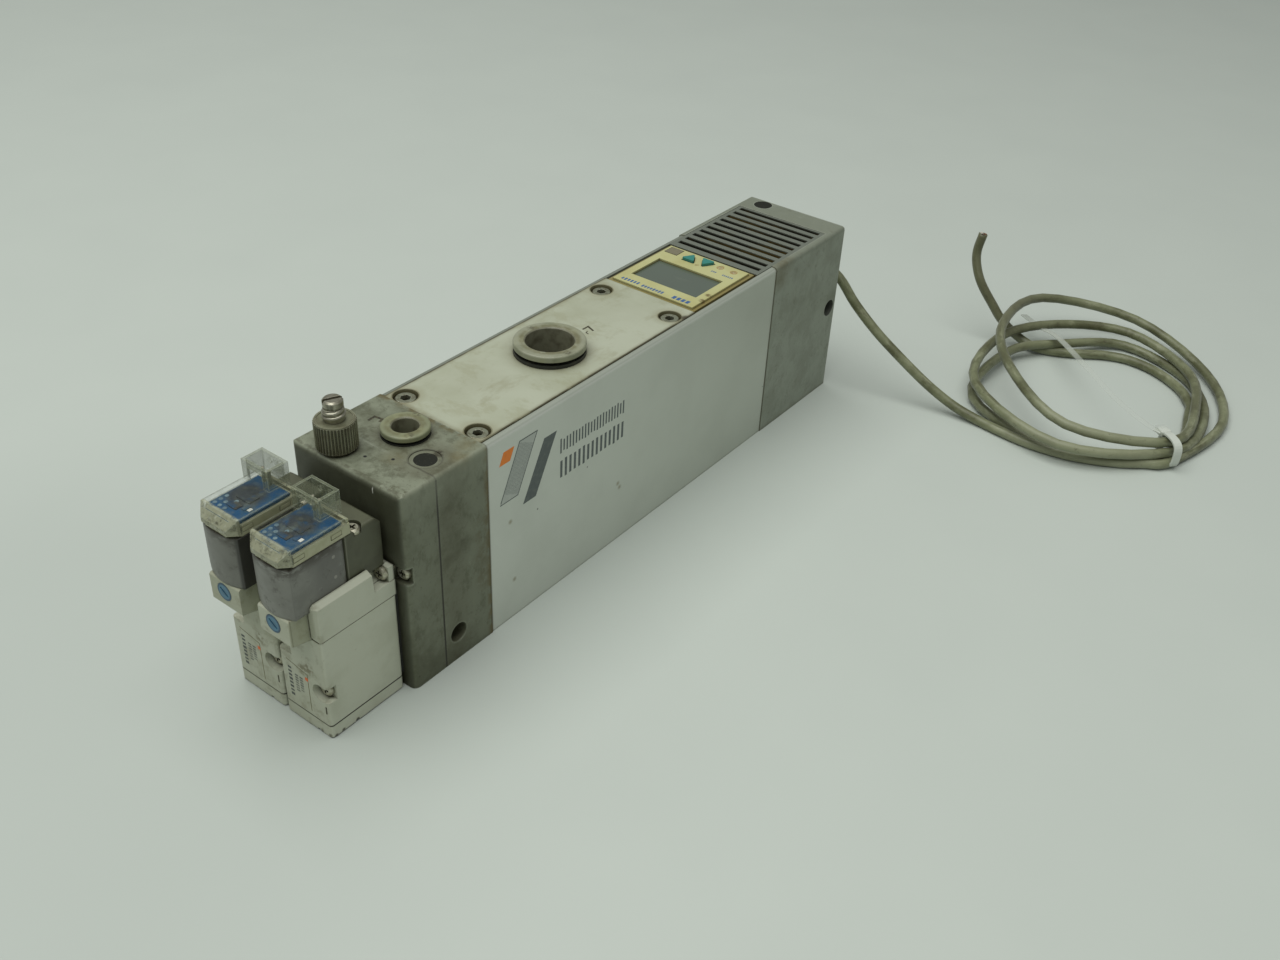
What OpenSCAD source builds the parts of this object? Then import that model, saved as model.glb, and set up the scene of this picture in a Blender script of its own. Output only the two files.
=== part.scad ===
// Multistage vacuum ejector with two pilot valves, a vacuum switch and a coiled lead.
// X runs across the body, Y runs from the valves to the exhaust end, and Z is up.
// The origin is on the underside, straight below the axis of the front mounting hole.

/* [Body] */
// Width of the body across X
body_w = 45; // [45:0.5:50]
// Height of the body from the underside to the top face
body_h = 71.7; // [71:0.1:80]
// Thickness of the plate that the valves bolt to
plate_t = 13.5; // [13:0.1:16]
// Length of the supply block behind the plate
block_l = 20.9; // [20.9:0.1:26]
// Length of the aluminium body channel
channel_l = 156.8; // [155:0.1:200]
// Length of the rear cover
rear_l = 49.8; // [49:0.1:60]
// Wall thickness of the body channel and the rear cover
wall_t = 2.5; // [2:0.1:3]
// Radius of the long top edges of the body
edge_r = 1.4; // [1:0.1:2.4]
// Radius of the front edges of the adapter plate
corner_r = 2.2; // [1:0.1:4]
// Step down from the castings to the channel's skin
skin_step = 0.3; // [0:0.1:0.5]

/* [Side mounting holes] */
// Diameter of the two cross holes, for M6 screws
hole_d = 6.8; // [6.4:0.1:7]
// Height of the front hole above the underside
front_hole_z = 10.4; // [9:0.1:14]
// Distance of the front hole behind the front face of the plate
front_hole_setback = 19.4; // [18.5:0.1:21]
// Height of the rear hole above the underside
rear_hole_z = 37.7; // [30:0.1:42]
// Distance of the rear hole from the rear face
rear_hole_inset = 4.6; // [4.5:0.1:6]

/* [Vacuum port] */
// Outside diameter of the tube that the vacuum port takes
vacuum_tube_d = 16; // [14:0.5:16]
// Diameter of the flange of its release ring
vacuum_ring_d = 24; // [23.4:0.1:25]
// Height of the release ring's rim above the top face
vacuum_ring_rise = 4.4; // [4.2:0.1:6]
// Distance of the port behind the front end of the channel
vacuum_port_y = 54.1; // [45:0.1:60]

/* [Supply port] */
// Outside diameter of the tube that the supply port takes
supply_tube_d = 8; // [6:0.5:8]
// Diameter of the flange of its release ring
supply_ring_d = 14.8; // [14.2:0.1:15.2]
// Height of the release ring's rim above the top face
supply_ring_rise = 2.9; // [2.7:0.1:4]

/* [Release flow needle] */
// Diameter of the needle's thread
needle_d = 6; // [5:0.5:7]
// Height of the needle's top above the top face
needle_rise = 16.4; // [15:0.1:20]
// Diameter of the knurled lock nut
nut_d = 12.4; // [11:0.1:13]
// Height of the knurled lock nut
nut_h = 9.7; // [7:0.1:10]
// Number of flutes in the knurl
nut_flutes = 40; // [24:1:48]

/* [Valves] */
// Width of one valve body
valve_w = 19.6; // [19.2:0.1:20.4]
// Spacing of the two valves
valve_pitch = 20.6; // [20.5:0.1:22]
// Depth of a valve body in front of the plate
valve_d = 29.3; // [28:0.1:32]
// Height of the pilot connector's top
hood_z = 70.3; // [70:0.1:72]
// Travel of a manual override button
override_travel = 1; // [0.5:0.1:1.5]
// Travel of a valve spool
spool_travel = 1.5; // [1:0.1:2]

/* [Vacuum switch] */
// Length of the switch along Y
switch_l = 38.6; // [38:0.1:39]
// Gap between the switch and the channel's walls
switch_gap = 1.1; // [0.8:0.1:1.5]
// Width of the display window
window_w = 28.6; // [20:0.1:29]
// Length of the display window along Y
window_l = 17; // [12:0.1:17.4]
// Travel of an arrow button
button_travel = 0.6; // [0.3:0.1:0.8]

/* [Exhaust grille] */
// Number of slots
slots = 10; // [5:1:10]
// Spacing of the slots
slot_pitch = 4.67; // [4:0.01:4.7]
// Width of a slot
slot_w = 2.4; // [1:0.1:2.6]

/* [Lead] */
// Diameter of the lead's sheath
lead_d = 4; // [3:0.1:4]

/* [Hidden] */
$fn = 64;

// Stations along Y, from the valves to the rear
y_front = -front_hole_setback;
y_block = y_front + plate_t;
y_channel = y_block + block_l;
y_rear = y_channel + channel_l;
y_end = y_rear + rear_l;

// Clearances: between fixed parts that slide together, and the radial clearance of a running fit
slip = 0.1;
run = 0.06;

// Inside of the channel: a lower exhaust bay, a web, an upper vacuum bay, two rails and the cover's seat
bay_w = body_w - 2 * wall_t;
floor_t = 3;
web_z = 38;
web_t = 3;
rail_h = 14;
rail_gap = vacuum_ring_d + 1.2;
rail_x = (rail_gap + bay_w) / 4;
cover_t = 6;
seat_z = body_h - cover_t;
rail_z = seat_z - rail_h;
flow_z = floor_t + (web_z - floor_t) / 2;

// Top cover and its M4 socket-head screws
cover_l = channel_l - 49;
cover_screw_x = rail_x - 1.3;
cover_screw_inset = 4.1;
cover_screw_rear = 8.2;
cap_head_r = 3.4;
cap_head_h = 4;
cap_bore_r = 4;
cap_bore_depth = 4.6;
cap_thread_r = 2;
cap_shank = 6;
cap_hex_af = 3;

// Push-in ports: flange thickness, travel of the ring and the socket's height above the top face
vacuum_flange_t = 2;
vacuum_travel = 1.1;
vacuum_socket_rise = vacuum_ring_rise - vacuum_flange_t - vacuum_travel - slip;
vacuum_socket_r = vacuum_ring_d / 2 - 0.1;
vacuum_sleeve_r = vacuum_tube_d / 2 + 1.3;
vacuum_depth = 22;
supply_flange_t = 1.6;
supply_travel = 0.8;
supply_socket_rise = supply_ring_rise - supply_flange_t - supply_travel - slip;
supply_socket_r = supply_ring_d / 2 - 0.1;
supply_sleeve_r = supply_tube_d / 2 + 1.2;
supply_depth = 14;
tube_gap = 0.05;
lead_in = 0.4;
supply_y = y_front + 24;
vacuum_y = y_channel + vacuum_port_y;

// Release flow needle
needle_x = 13.2 - body_w / 2;
needle_y = y_front + 6.2;
needle_depth = 12;
needle_tip = 5;
needle_slot_turn = 65;

// Blank plugs beside the supply port and behind the grille
plug_x = body_w / 2 - 8.7;
plug_y = y_front + 18.2;
plug_r = 3.4;
rear_plug_x = 9 - body_w / 2;
rear_plug_r = 3.6;

// Tie bolts that run the length of the body
tie_x = rail_x;
tie_low_z = 20;
tie_high_z = body_h - 16.6;
tie_r = 1.5;
tie_head_r = 2.75;
tie_head_h = 3;

// Ejector stages in the lower bay: two diffusers, their partitions and the flaps above them
stage_r = 6;
stage_t = 4;
first_y = y_channel + 27;
first_l = 46;
second_y = first_y + first_l + 5;
second_l = 60;
stage_y = [first_y + 3, first_y + first_l - 7, second_y + 4, second_y + second_l - 10];
flap_y = [first_y + 13, second_y];
port_w = 14;
port_l = 20;

// Switch, grille and silencer stations
switch_w = bay_w - 2 * switch_gap;
switch_y = y_channel + cover_l + 0.2;
grille_y = switch_y + switch_l + 0.6;
grille_end = y_end - 11;
grille_t = 2.6;
skirt_t = 1.6;
hollow_w = 18;
hollow_l = 24;
hollow_h = 26;
hollow_z = 8;

// Stations on the switch's face, and the height of the face above the top of the body
face_rise = 0.5;
flange_drop = 0.3;
face_w = switch_w - 2.7;
face_l = switch_l - 2.8;
face_y = switch_y + 1.3;
window_x = -0.2;
window_y = switch_y + 8.3;
window_drop = 0.9;
pocket_w = face_w - 0.9;
pocket_l = 10.2;
pocket_y = window_y + window_l + 1.4;
board_gap = 0.3;
key_side = 5.6;
key_cut = 0.6;
key_rise = 1;
key_gap = 0.2;
set_w = 5.4;
set_l = 4.8;
set_at = [-13.9, switch_y + 33.9];
up_at = [-5.2, switch_y + 31.7];
down_at = [1.3, switch_y + 33.3];
light_x = [7.1, 13];
light_y = switch_y + 33.8;
light_r = 0.8;
board_face_z = body_h - 5.4;

// One valve: heights from the underside, Y measured forwards of the plate, X from the valve's centre
pair_x = -1.5;
gasket_t = 0.8;
valve_x = [pair_x - valve_pitch / 2, pair_x + valve_pitch / 2];
foot_z = 0.4;
foot_t = 4.3;
body_z = foot_z + foot_t + 0.25;
shoulder_z = 36.6;
deck_z = 47.2;
cover_x = 6.7;
side_cover_top = 49.6;
port_z = [16, 23.5, 31];
port_r = 2;
spool_r = 4;
spool_y = -14;
nose_w = 12.8;
nose_reach = 6.7;
override_r = 2.85;
override_z = 43.2;
keyhole_x = 6.6;
keyhole_z = 16.4;
lug_x = 7;
lug_z = 44.7;
pan_head_r = 2.3;
pan_head_h = 1.5;
pan_thread_r = 1.25;

// Pilot stack on the valve's deck
pilot_w = 15;
pilot_z = deck_z + 0.1;
pilot_back = -2.3;
solenoid_back = -15.2;
solenoid_front = -34.8;
bow_r = 16;
heel_r = 3;
pilot_top = 64.4;
pilot_screw_x = 4.9;
pilot_screw_y = -10.4;
base_front = -36;
base_back = -12.9;
board_z = hood_z - 2.2;
board_t = 0.9;
hood_wall = 0.8;
visor_y = base_front + 3.6;
visor_z = pilot_top + 1;
socket_w = 10.8;
socket_d = 7.4;
socket_h = 6.5;
socket_x = -1.7;
socket_back = -12.2;
socket_wall = 0.9;

// The lead leaves the rear cover here, bends right and lies down beside the body
lead_r = lead_d / 2;
gland_x = 0;
gland_z = 52;
gland_rise = 1.5;
lead_route = [
    [0, 223, 52], [0.8, 227.5, 51.9], [6.5, 231.4, 50], [17.5, 232.6, 44], [26.5, 232.6, 35], [38, 232.6, 26],
    [50.5, 233, 18], [64, 233.6, 10.2], [76.5, 234.5, 4.6], [89, 234.6, 2.1],
    [99, 233.2, 2.05], [109, 232.4, 2.05], [118.7, 233.2, 2.05], [128.8, 235.6, 2.05],
    [140.9, 241.2, 2.05], [151, 248.6, 2.05]
];
tail_route = [
    [148.9, 309.6, 2.05], [141.9, 317.7, 2.05], [129.7, 324.8, 2.05], [117.6, 326.8, 2.05],
    [107.5, 323.7, 2.05], [97.4, 316.7, 2.05], [88.3, 311.4, 2.1], [80.2, 308.6, 2.6], [72, 308.6, 4.8],
    [63.7, 307.3, 10.5], [57.5, 307.6, 16.5], [50.5, 307.6, 24.5], [46, 309.6, 31], [44, 311.6, 37],
    [44.8, 312.6, 45]
];
coil_x = 115.5;
coil_y = 295;
coil_outer_r = 61.5;
coil_inner_r = 40;
coil_h = 20;
tie_at = [157.5, 257.5, 6];
tie_turn = 51;
strap_w = 3.4;
strap_t = 0.9;
strap_r = 6;
strap_tail = 108;
strap_tail_turn = 143.5;

// Rectangle that stands on the X axis, with its two upper corners rounded
module arch(w, h, r) {
    translate([-w / 2, 0]) square([w, h - r]);
    translate([-w / 2 + r, 0]) square([w - 2 * r, h]);
    for (side = [-1, 1]) translate([side * (w / 2 - r), h - r]) circle(r);
}

// Centred rectangle with four rounded corners
module slab(w, l, r) {
    square([w - 2 * r, l], center = true);
    square([w, l - 2 * r], center = true);
    for (sx = [-1, 1], sy = [-1, 1]) translate([sx * (w / 2 - r), sy * (l / 2 - r)]) circle(r);
}

// Extrudes an X-Z outline along Y
module along_y(y, length) {
    translate([0, y + length, 0]) rotate([90, 0, 0]) linear_extrude(length) children();
}

// Extrudes a Y-Z outline along X
module along_x(x, length) {
    translate([x, 0, 0]) rotate([90, 0, 90]) linear_extrude(length) children();
}

// Round bar or hole along each axis, from its low end
module bar_x(at, r, length) translate(at) rotate([0, 90, 0]) cylinder(r = r, h = length);
module bar_y(at, r, length) translate(at) rotate([-90, 0, 0]) cylinder(r = r, h = length);
module bar_z(at, r, length) translate(at) cylinder(r = r, h = length);

// Puts a child at both valves
module at_valves() {
    for (x = valve_x) translate([x, y_front, 0]) children();
}

// Places of the cover screws and the tie bolts
module at_cover_screws() {
    for (x = [-cover_screw_x, cover_screw_x], y = [cover_screw_inset, cover_l - cover_screw_rear])
        translate([x, y_channel + y, body_h]) children();
}
module at_tie_bolts() {
    for (x = [-tie_x, tie_x], z = [tie_low_z, tie_high_z]) translate([x, 0, z]) children();
}

// ---------------------------------------------------------------- body

// Cast plate with the valve ports on its front face and the needle's bore in its top
module adapter_plate() color("#84837a") difference() {
    intersection() {
        along_y(y_front, plate_t) arch(body_w, body_h, edge_r);
        translate([0, y_block, 0]) rotate(180) linear_extrude(body_h) arch(body_w, plate_t, corner_r);
        along_x(-body_w / 2, body_w) {
            translate([y_front, 0]) square([plate_t, body_h - corner_r]);
            translate([y_front + corner_r, 0]) square([plate_t - corner_r, body_h]);
            translate([y_front + corner_r, body_h - corner_r]) circle(corner_r);
        }
    }
    bar_z([needle_x, needle_y, body_h - needle_depth], needle_d / 2 + run, needle_depth + 1);
    bar_z([needle_x, needle_y, port_z[2]], needle_d / 4 + run, body_h - needle_depth - port_z[2] + 1);
    translate([body_w / 2 - 5.6, y_front - 1, 40.4]) cube([6, 3.6, 5.8]);
    bar_y([body_w / 2 - 3.2, y_front, 43.3], pan_thread_r, 10);
    at_valves() {
        for (z = port_z) bar_y([0, -1, z], port_r, plate_t + 2);
        bar_y([keyhole_x, -1, keyhole_z], pan_thread_r, 7);
        bar_y([lug_x, -1, lug_z], pan_thread_r, 8.5);
    }
    at_tie_bolts() bar_y([0, y_block - 8, 0], tie_r + tube_gap, 9);
}

// Cast block with the supply port, its gallery and the front mounting hole
module supply_block() color("#8b897f") difference() {
    along_y(y_block, block_l) arch(body_w, body_h, edge_r);
    bar_x([-body_w / 2 - 1, 0, front_hole_z], hole_d / 2, body_w + 2);
    bar_z([0, supply_y, body_h - supply_depth], supply_socket_r + tube_gap, supply_depth + 1);
    bar_z([0, supply_y, port_z[0] + 1], 3, body_h - port_z[0] - 11);
    at_valves() for (z = port_z) bar_y([0, plate_t - 1, z], port_r, 8);
    bar_x([valve_x[0], y_block + 6, port_z[1]], port_r, valve_pitch);
    bar_y([0, supply_y - 1, flow_z], 3, block_l);
    translate([plug_x, plug_y, body_h]) {
        bar_z([0, 0, -0.3], plug_r + 1.4, 1);
        bar_z([0, 0, -6], plug_r + tube_gap, 7);
    }
    at_tie_bolts() bar_y([0, y_block - 1, 0], tie_r + slip, block_l + 2);
}

// Aluminium extrusion: U-shaped outside, with a web between the two bays and a rail under each seat edge
module body_channel() color("#a9aaa6") difference() {
    along_y(y_channel, channel_l) difference() {
        arch(body_w - 2 * skin_step, body_h - skin_step, edge_r);
        translate([-bay_w / 2, floor_t]) square([bay_w, web_z - floor_t]);
        translate([-bay_w / 2, web_z + web_t]) square([bay_w, rail_z - web_z - web_t]);
        translate([-rail_gap / 2, rail_z - 1]) square([rail_gap, rail_h + 2]);
        translate([-bay_w / 2, seat_z]) square([bay_w, cover_t + 1]);
    }
    at_cover_screws() bar_z([0, 0, -cover_t - cap_shank - 2], cap_thread_r + tube_gap, cap_shank + 3);
    for (y = flap_y) translate([-port_w / 2, y, web_z - 1]) cube([port_w, port_l, web_t + 2]);
    for (x = [-tie_x, tie_x]) bar_y([x, y_channel - 1, tie_high_z], tie_r + slip, channel_l + 2);
}

// Cream plate between the channel's walls, with the vacuum port's hole and four counterbores
module top_cover() color("#b9b8a4") difference() {
    translate([-bay_w / 2 + slip, y_channel, seat_z]) cube([bay_w - 2 * slip, cover_l, cover_t]);
    bar_z([0, vacuum_y, seat_z - 1], vacuum_socket_r + tube_gap, cover_t + 2);
    at_cover_screws() {
        bar_z([0, 0, -cap_bore_depth], cap_bore_r, cap_bore_depth + 1);
        bar_z([0, 0, -cover_t - 1], cap_thread_r + slip, cover_t + 1);
    }
}

// Socket-head cap screws: head, hex socket and shank
module cap_screw(head_r, head_h, thread_r, shank, hex_af) difference() {
    union() {
        cylinder(r = head_r, h = head_h - 0.4);
        translate([0, 0, head_h - 0.4]) cylinder(r1 = head_r, r2 = head_r - 0.4, h = 0.4);
        translate([0, 0, -shank]) cylinder(r = thread_r, h = shank + 0.1);
    }
    translate([0, 0, head_h / 2]) cylinder(d = hex_af / cos(30), h = head_h, $fn = 6);
}

module cover_screws() color("#77756b") at_cover_screws()
    translate([0, 0, -cap_bore_depth]) cap_screw(cap_head_r, cap_head_h, cap_thread_r, cap_shank, cap_hex_af);

module tie_bolts() color("#6f6e69") at_tie_bolts()
    translate([0, y_end, 0]) rotate([-90, 0, 0])
        translate([0, 0, -tie_head_h - slip])
            cap_screw(tie_head_r, tie_head_h, tie_r, y_end - y_block - tie_head_h - slip + 7, 2.5);

// Cast hood over the silencer: open to the channel and, between its walls, to the grille
module rear_cover() color("#83827b") difference() {
    along_y(y_rear, rear_l) arch(body_w, body_h, edge_r);
    translate([-bay_w / 2, y_rear - 1, floor_t]) cube([bay_w, grille_end - y_rear + 1, body_h]);
    bar_x([-body_w / 2 - 1, y_end - rear_hole_inset, rear_hole_z], hole_d / 2, body_w + 2);
    bar_z([rear_plug_x, y_end - 4, body_h - 5], rear_plug_r + tube_gap, 6);
    bar_y([gland_x, grille_end - 1, gland_z], 3.2, 13);
    at_tie_bolts() {
        bar_y([0, grille_end - 1, 0], tie_r + slip, 13);
        bar_y([0, y_end - tie_head_h - slip, 0], tie_head_r + slip, 5);
    }
}

module rear_plug() color("#4b4d4b") bar_z([rear_plug_x, y_end - 4, body_h - 5], rear_plug_r, 4.9);

module blank_plug() color("#3d403f") translate([plug_x, plug_y, body_h - 6]) cylinder(r = plug_r, h = 5.6);

// Slotted exhaust grille with a skirt that stands on the rails
module grille() color("#8f9089") difference() {
    union() {
        translate([-bay_w / 2 + slip, grille_y, body_h - grille_t])
            cube([bay_w - 2 * slip, grille_end - grille_y - slip, grille_t - 0.1]);
        difference() {
            translate([-bay_w / 2 + slip, grille_y, seat_z])
                cube([bay_w - 2 * slip, grille_end - grille_y - slip, cover_t - 1]);
            translate([-bay_w / 2 + skirt_t, grille_y + skirt_t, seat_z - 1])
                cube([bay_w - 2 * skirt_t, grille_end - grille_y - 2 * skirt_t, cover_t + 1]);
        }
    }
    for (i = [0 : slots - 1])
        translate([-bay_w / 2 + skirt_t, grille_end - 3.4 - i * slot_pitch, seat_z - 1])
            cube([bay_w - 2 * skirt_t, slot_w, cover_t + 2]);
}

// Porous block that fills the rear cover under the grille
module silencer_element() color("#8a7a45") difference() {
    translate([-bay_w / 2 + slip, y_rear + 3, floor_t])
        cube([bay_w - 2 * slip, grille_end - y_rear - 3 - slip, seat_z - floor_t - slip]);
    translate([-hollow_w / 2, y_rear + 2, hollow_z]) cube([hollow_w, hollow_l, hollow_h]);
    for (x = [-tie_x, tie_x], z = [tie_low_z, tie_high_z]) bar_y([x, y_rear, z], tie_r + 0.4, rear_l);
    bar_y([gland_x, grille_end - 12, gland_z], 3.6, 20);
}

// ---------------------------------------------------------------- ejector stages

// Turned nozzle that takes the supply air from the block
module nozzle() color("#b5974f") translate([0, y_channel, flow_z]) rotate([-90, 0, 0]) rotate_extrude()
    polygon([[3, 0], [9, 0], [9, 3], [5, 3], [5, 16], [2.6, 24], [1.6, 24], [1.1, 17], [1.1, 13]]);

// Flared tubes that carry the flow from stage to stage
module flared_tube(throat_r, outer_r, length) rotate([-90, 0, 0]) rotate_extrude()
    polygon([
        [throat_r + 1.2, 0], [outer_r, 0], [outer_r, length], [throat_r + 0.8, length],
        [throat_r, length / 2], [throat_r, length / 4]
    ]);

module first_diffuser() color("#c9c7bd")
    translate([0, first_y, flow_z]) flared_tube(2.2, stage_r, first_l);

module second_diffuser() color("#c9c7bd")
    translate([0, second_y, flow_z]) flared_tube(3.6, stage_r, second_l);

// Four partitions that hold the two diffusers in the lower bay
module stage_plates() color("#d0cdbf")
    for (y = stage_y) difference() {
        translate([-bay_w / 2 + slip, y, floor_t])
            cube([bay_w - 2 * slip, stage_t, web_z - floor_t - slip]);
        bar_y([0, y - 1, flow_z], stage_r + tube_gap, stage_t + 2);
        for (x = [-tie_x, tie_x]) bar_y([x, y - 1, tie_low_z], tie_r + slip, stage_t + 2);
    }

// Rubber flaps that close the two openings in the web
module flap_valves() color("#2f302e")
    for (y = flap_y) translate([-port_w / 2 - 2, y - 2, web_z + web_t]) cube([port_w + 4, port_l + 4, 1.5]);

// ---------------------------------------------------------------- push-in ports

// Socket of a push-in port: a stepped sleeve with the tube's seat below the release ring
module socket(outer_r, rise, sleeve_r, tube_r, depth) rotate_extrude()
    polygon([
        [sleeve_r + run, rise], [outer_r, rise], [outer_r, -depth], [tube_r - 1.5, -depth],
        [tube_r - 1.5, -depth + 1.5], [tube_r + tube_gap, -depth + 1.5],
        [tube_r + tube_gap, -depth / 2 - 2.4], [sleeve_r + run, -depth / 2 - 2.4]
    ]);

// Rubber ring in the bottom of the socket's wide bore
module seal(sleeve_r, tube_r, depth) translate([0, 0, -depth / 2 - 2.4]) rotate_extrude()
    translate([tube_r + tube_gap, 0]) square([sleeve_r + run - tube_r - tube_gap, 1.8]);

// Release ring: round-edged flange on a sleeve, with a lead-in for the tube
module release_ring(flange_r, flange_t, rise, sleeve_r, tube_r, depth) rotate_extrude() {
    difference() {
        union() {
            translate([tube_r + tube_gap, -depth / 2 + 1.6])
                square([sleeve_r - tube_r - tube_gap, rise + depth / 2 - 1.6]);
            translate([tube_r + tube_gap, rise - flange_t])
                square([flange_r - 0.6 - tube_r - tube_gap, flange_t]);
            translate([flange_r - 0.6, rise - flange_t]) square([0.6, flange_t - 0.6]);
            translate([flange_r - 0.6, rise - 0.6]) circle(0.6);
        }
        polygon([
            [0, rise - lead_in], [tube_r + tube_gap, rise - lead_in],
            [tube_r + tube_gap + lead_in, rise], [0, rise]
        ]);
    }
}

module vacuum_socket() color("#1f211f") translate([0, vacuum_y, body_h])
    socket(vacuum_socket_r, vacuum_socket_rise, vacuum_sleeve_r, vacuum_tube_d / 2, vacuum_depth);
module vacuum_seal() color("#141514") translate([0, vacuum_y, body_h])
    seal(vacuum_sleeve_r, vacuum_tube_d / 2, vacuum_depth);
module vacuum_release_ring() color("#b4b094") translate([0, vacuum_y, body_h])
    release_ring(
        vacuum_ring_d / 2, vacuum_flange_t, vacuum_ring_rise, vacuum_sleeve_r, vacuum_tube_d / 2, vacuum_depth
    );

module supply_socket() color("#1f211f") translate([0, supply_y, body_h])
    socket(supply_socket_r, supply_socket_rise, supply_sleeve_r, supply_tube_d / 2, supply_depth);
module supply_seal() color("#141514") translate([0, supply_y, body_h])
    seal(supply_sleeve_r, supply_tube_d / 2, supply_depth);
module supply_release_ring() color("#b9b598") translate([0, supply_y, body_h])
    release_ring(
        supply_ring_d / 2, supply_flange_t, supply_ring_rise, supply_sleeve_r, supply_tube_d / 2, supply_depth
    );

// ---------------------------------------------------------------- release flow needle

// Screw with a relieved neck, a slotted head and a tapered tip in the plate
module needle_spindle() color("#8e8c82") translate([needle_x, needle_y, body_h]) difference() {
    rotate_extrude() polygon([
        [0, -needle_depth - needle_tip], [0.6, -needle_depth - needle_tip],
        [needle_d / 4, -needle_depth - needle_tip + 1.5], [needle_d / 4, -needle_depth + 0.3],
        [needle_d / 2, -needle_depth + 0.8], [needle_d / 2, needle_rise - 2.8],
        [needle_d / 2 - 0.4, needle_rise - 2.6], [needle_d / 2 - 0.4, needle_rise - 2.2],
        [needle_d / 2, needle_rise - 2], [needle_d / 2, needle_rise - 0.5],
        [needle_d / 2 - 0.5, needle_rise], [0, needle_rise]
    ]);
    rotate(needle_slot_turn) translate([-needle_d, -0.55, needle_rise - 1.3]) cube([2 * needle_d, 1.1, 3]);
}

// Lock nut with a straight knurl between a tapered foot and a turned rim
module lock_nut() color("#6f6d60") translate([needle_x, needle_y, body_h + slip]) difference() {
    union() {
        cylinder(r1 = nut_d / 2 - 0.8, r2 = nut_d / 2 - 0.25, h = 0.9);
        translate([0, 0, 0.9]) linear_extrude(nut_h - 1.3) polygon([
            for (i = [0 : 2 * nut_flutes - 1])
                (nut_d / 2 - (i % 2) * 0.35) * [cos(180 * i / nut_flutes), sin(180 * i / nut_flutes)]
        ]);
        translate([0, 0, nut_h - 0.4]) cylinder(r = nut_d / 2 - 0.3, h = 0.4);
    }
    translate([0, 0, -1]) cylinder(r = needle_d / 2 + run, h = nut_h + 2);
    translate([0, 0, nut_h - 0.25]) cylinder(r = nut_d / 2 - 0.9, h = 1);
}

// ---------------------------------------------------------------- vacuum switch

// Equilateral triangle with blunted corners, its tip towards +Y
module triangle(side, cut) polygon([
    for (a = [90, 210, 330], turn = [-150, 150])
        side / sqrt(3) * [cos(a), sin(a)] + cut * [cos(a + turn), sin(a + turn)]
]);

// Outlines of the three keys, each grown by a gap for its hole
module set_key(gap) translate(set_at) square([set_w + 2 * gap, set_l + 2 * gap], center = true);
module up_key(gap) translate(up_at) triangle(key_side + 2 * sqrt(3) * gap, key_cut);
module down_key(gap) translate(down_at) rotate(180) triangle(key_side + 2 * sqrt(3) * gap, key_cut);

// Tray with a raised face round the display, and a tub for the board between the rails
module switch_case() color("#c9c18f") difference() {
    union() {
        translate([-switch_w / 2, switch_y, seat_z]) cube([switch_w, switch_l, cover_t - flange_drop]);
        translate([-face_w / 2, face_y, seat_z]) cube([face_w, face_l, cover_t + face_rise]);
        translate([-rail_gap / 2 + 0.6, switch_y + 1, rail_z + 2])
            cube([rail_gap - 1.2, switch_l - 2, rail_h]);
    }
    translate([window_x - window_w / 2, window_y, body_h + face_rise - window_drop - 1])
        cube([window_w, window_l, 3]);
    translate([-rail_gap / 2 + 1.8, switch_y + 2.2, rail_z + 1])
        cube([rail_gap - 3.6, switch_l - 4.4, body_h - 2 - rail_z - 1]);
    translate([-pocket_w / 2, pocket_y, seat_z - 1]) cube([pocket_w, pocket_l, 5]);
    translate([0, 0, body_h - 3]) linear_extrude(6) {
        set_key(key_gap);
        up_key(key_gap);
        down_key(key_gap);
    }
    for (x = light_x) bar_z([x, light_y, body_h - 3], light_r + 0.05, 6);
}

module display_window() color("#6f7673")
    translate([window_x - window_w / 2 + slip, window_y + slip, body_h + face_rise - window_drop - 1])
        cube([window_w - 2 * slip, window_l - 2 * slip, 1]);

// Circuit board in the tub, with a contact post under each key
module switch_board() color("#3f6b4a") {
    translate([-rail_gap / 2 + 2, switch_y + 2.4, board_face_z - 1.6])
        cube([rail_gap - 4, switch_l - 4.8, 1.6]);
    translate([board_gap - pocket_w / 2, pocket_y + board_gap, board_face_z - 0.5])
        cube([pocket_w - 2 * board_gap, pocket_l - 2 * board_gap, 1]);
    for (at = [set_at, up_at, down_at])
        bar_z([at[0], at[1], board_face_z], 1.2, body_h - 1.8 - button_travel - slip - board_face_z);
}

module indicator_lights() color("#a8683a")
    for (x = light_x)
        bar_z([x, light_y, board_face_z + 0.5], light_r, body_h + face_rise - 0.1 - board_face_z - 0.5);

// Keys: each stands on its contact post and is pressed down into the case
module set_button() color("#8f8d78") translate([0, 0, body_h - 1.8])
    linear_extrude(1.8 + face_rise + 0.1) set_key(0);
module up_button() color("#2e8f8c") translate([0, 0, body_h - 1.8])
    linear_extrude(1.8 + face_rise + key_rise) up_key(0);
module down_button() color("#2e8f8c") translate([0, 0, body_h - 1.8])
    linear_extrude(1.8 + face_rise + key_rise) down_key(0);

// ---------------------------------------------------------------- one valve
// X from the valve's centre and Y from its back, which bears on the plate

// Way through the valve for the screw at its lug, with room for the head
module lug_bore() {
    bar_y([lug_x, -12, lug_z], pan_thread_r + slip, 13);
    bar_y([lug_x, -9, lug_z], pan_head_r + 0.2, 6.1);
}

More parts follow.
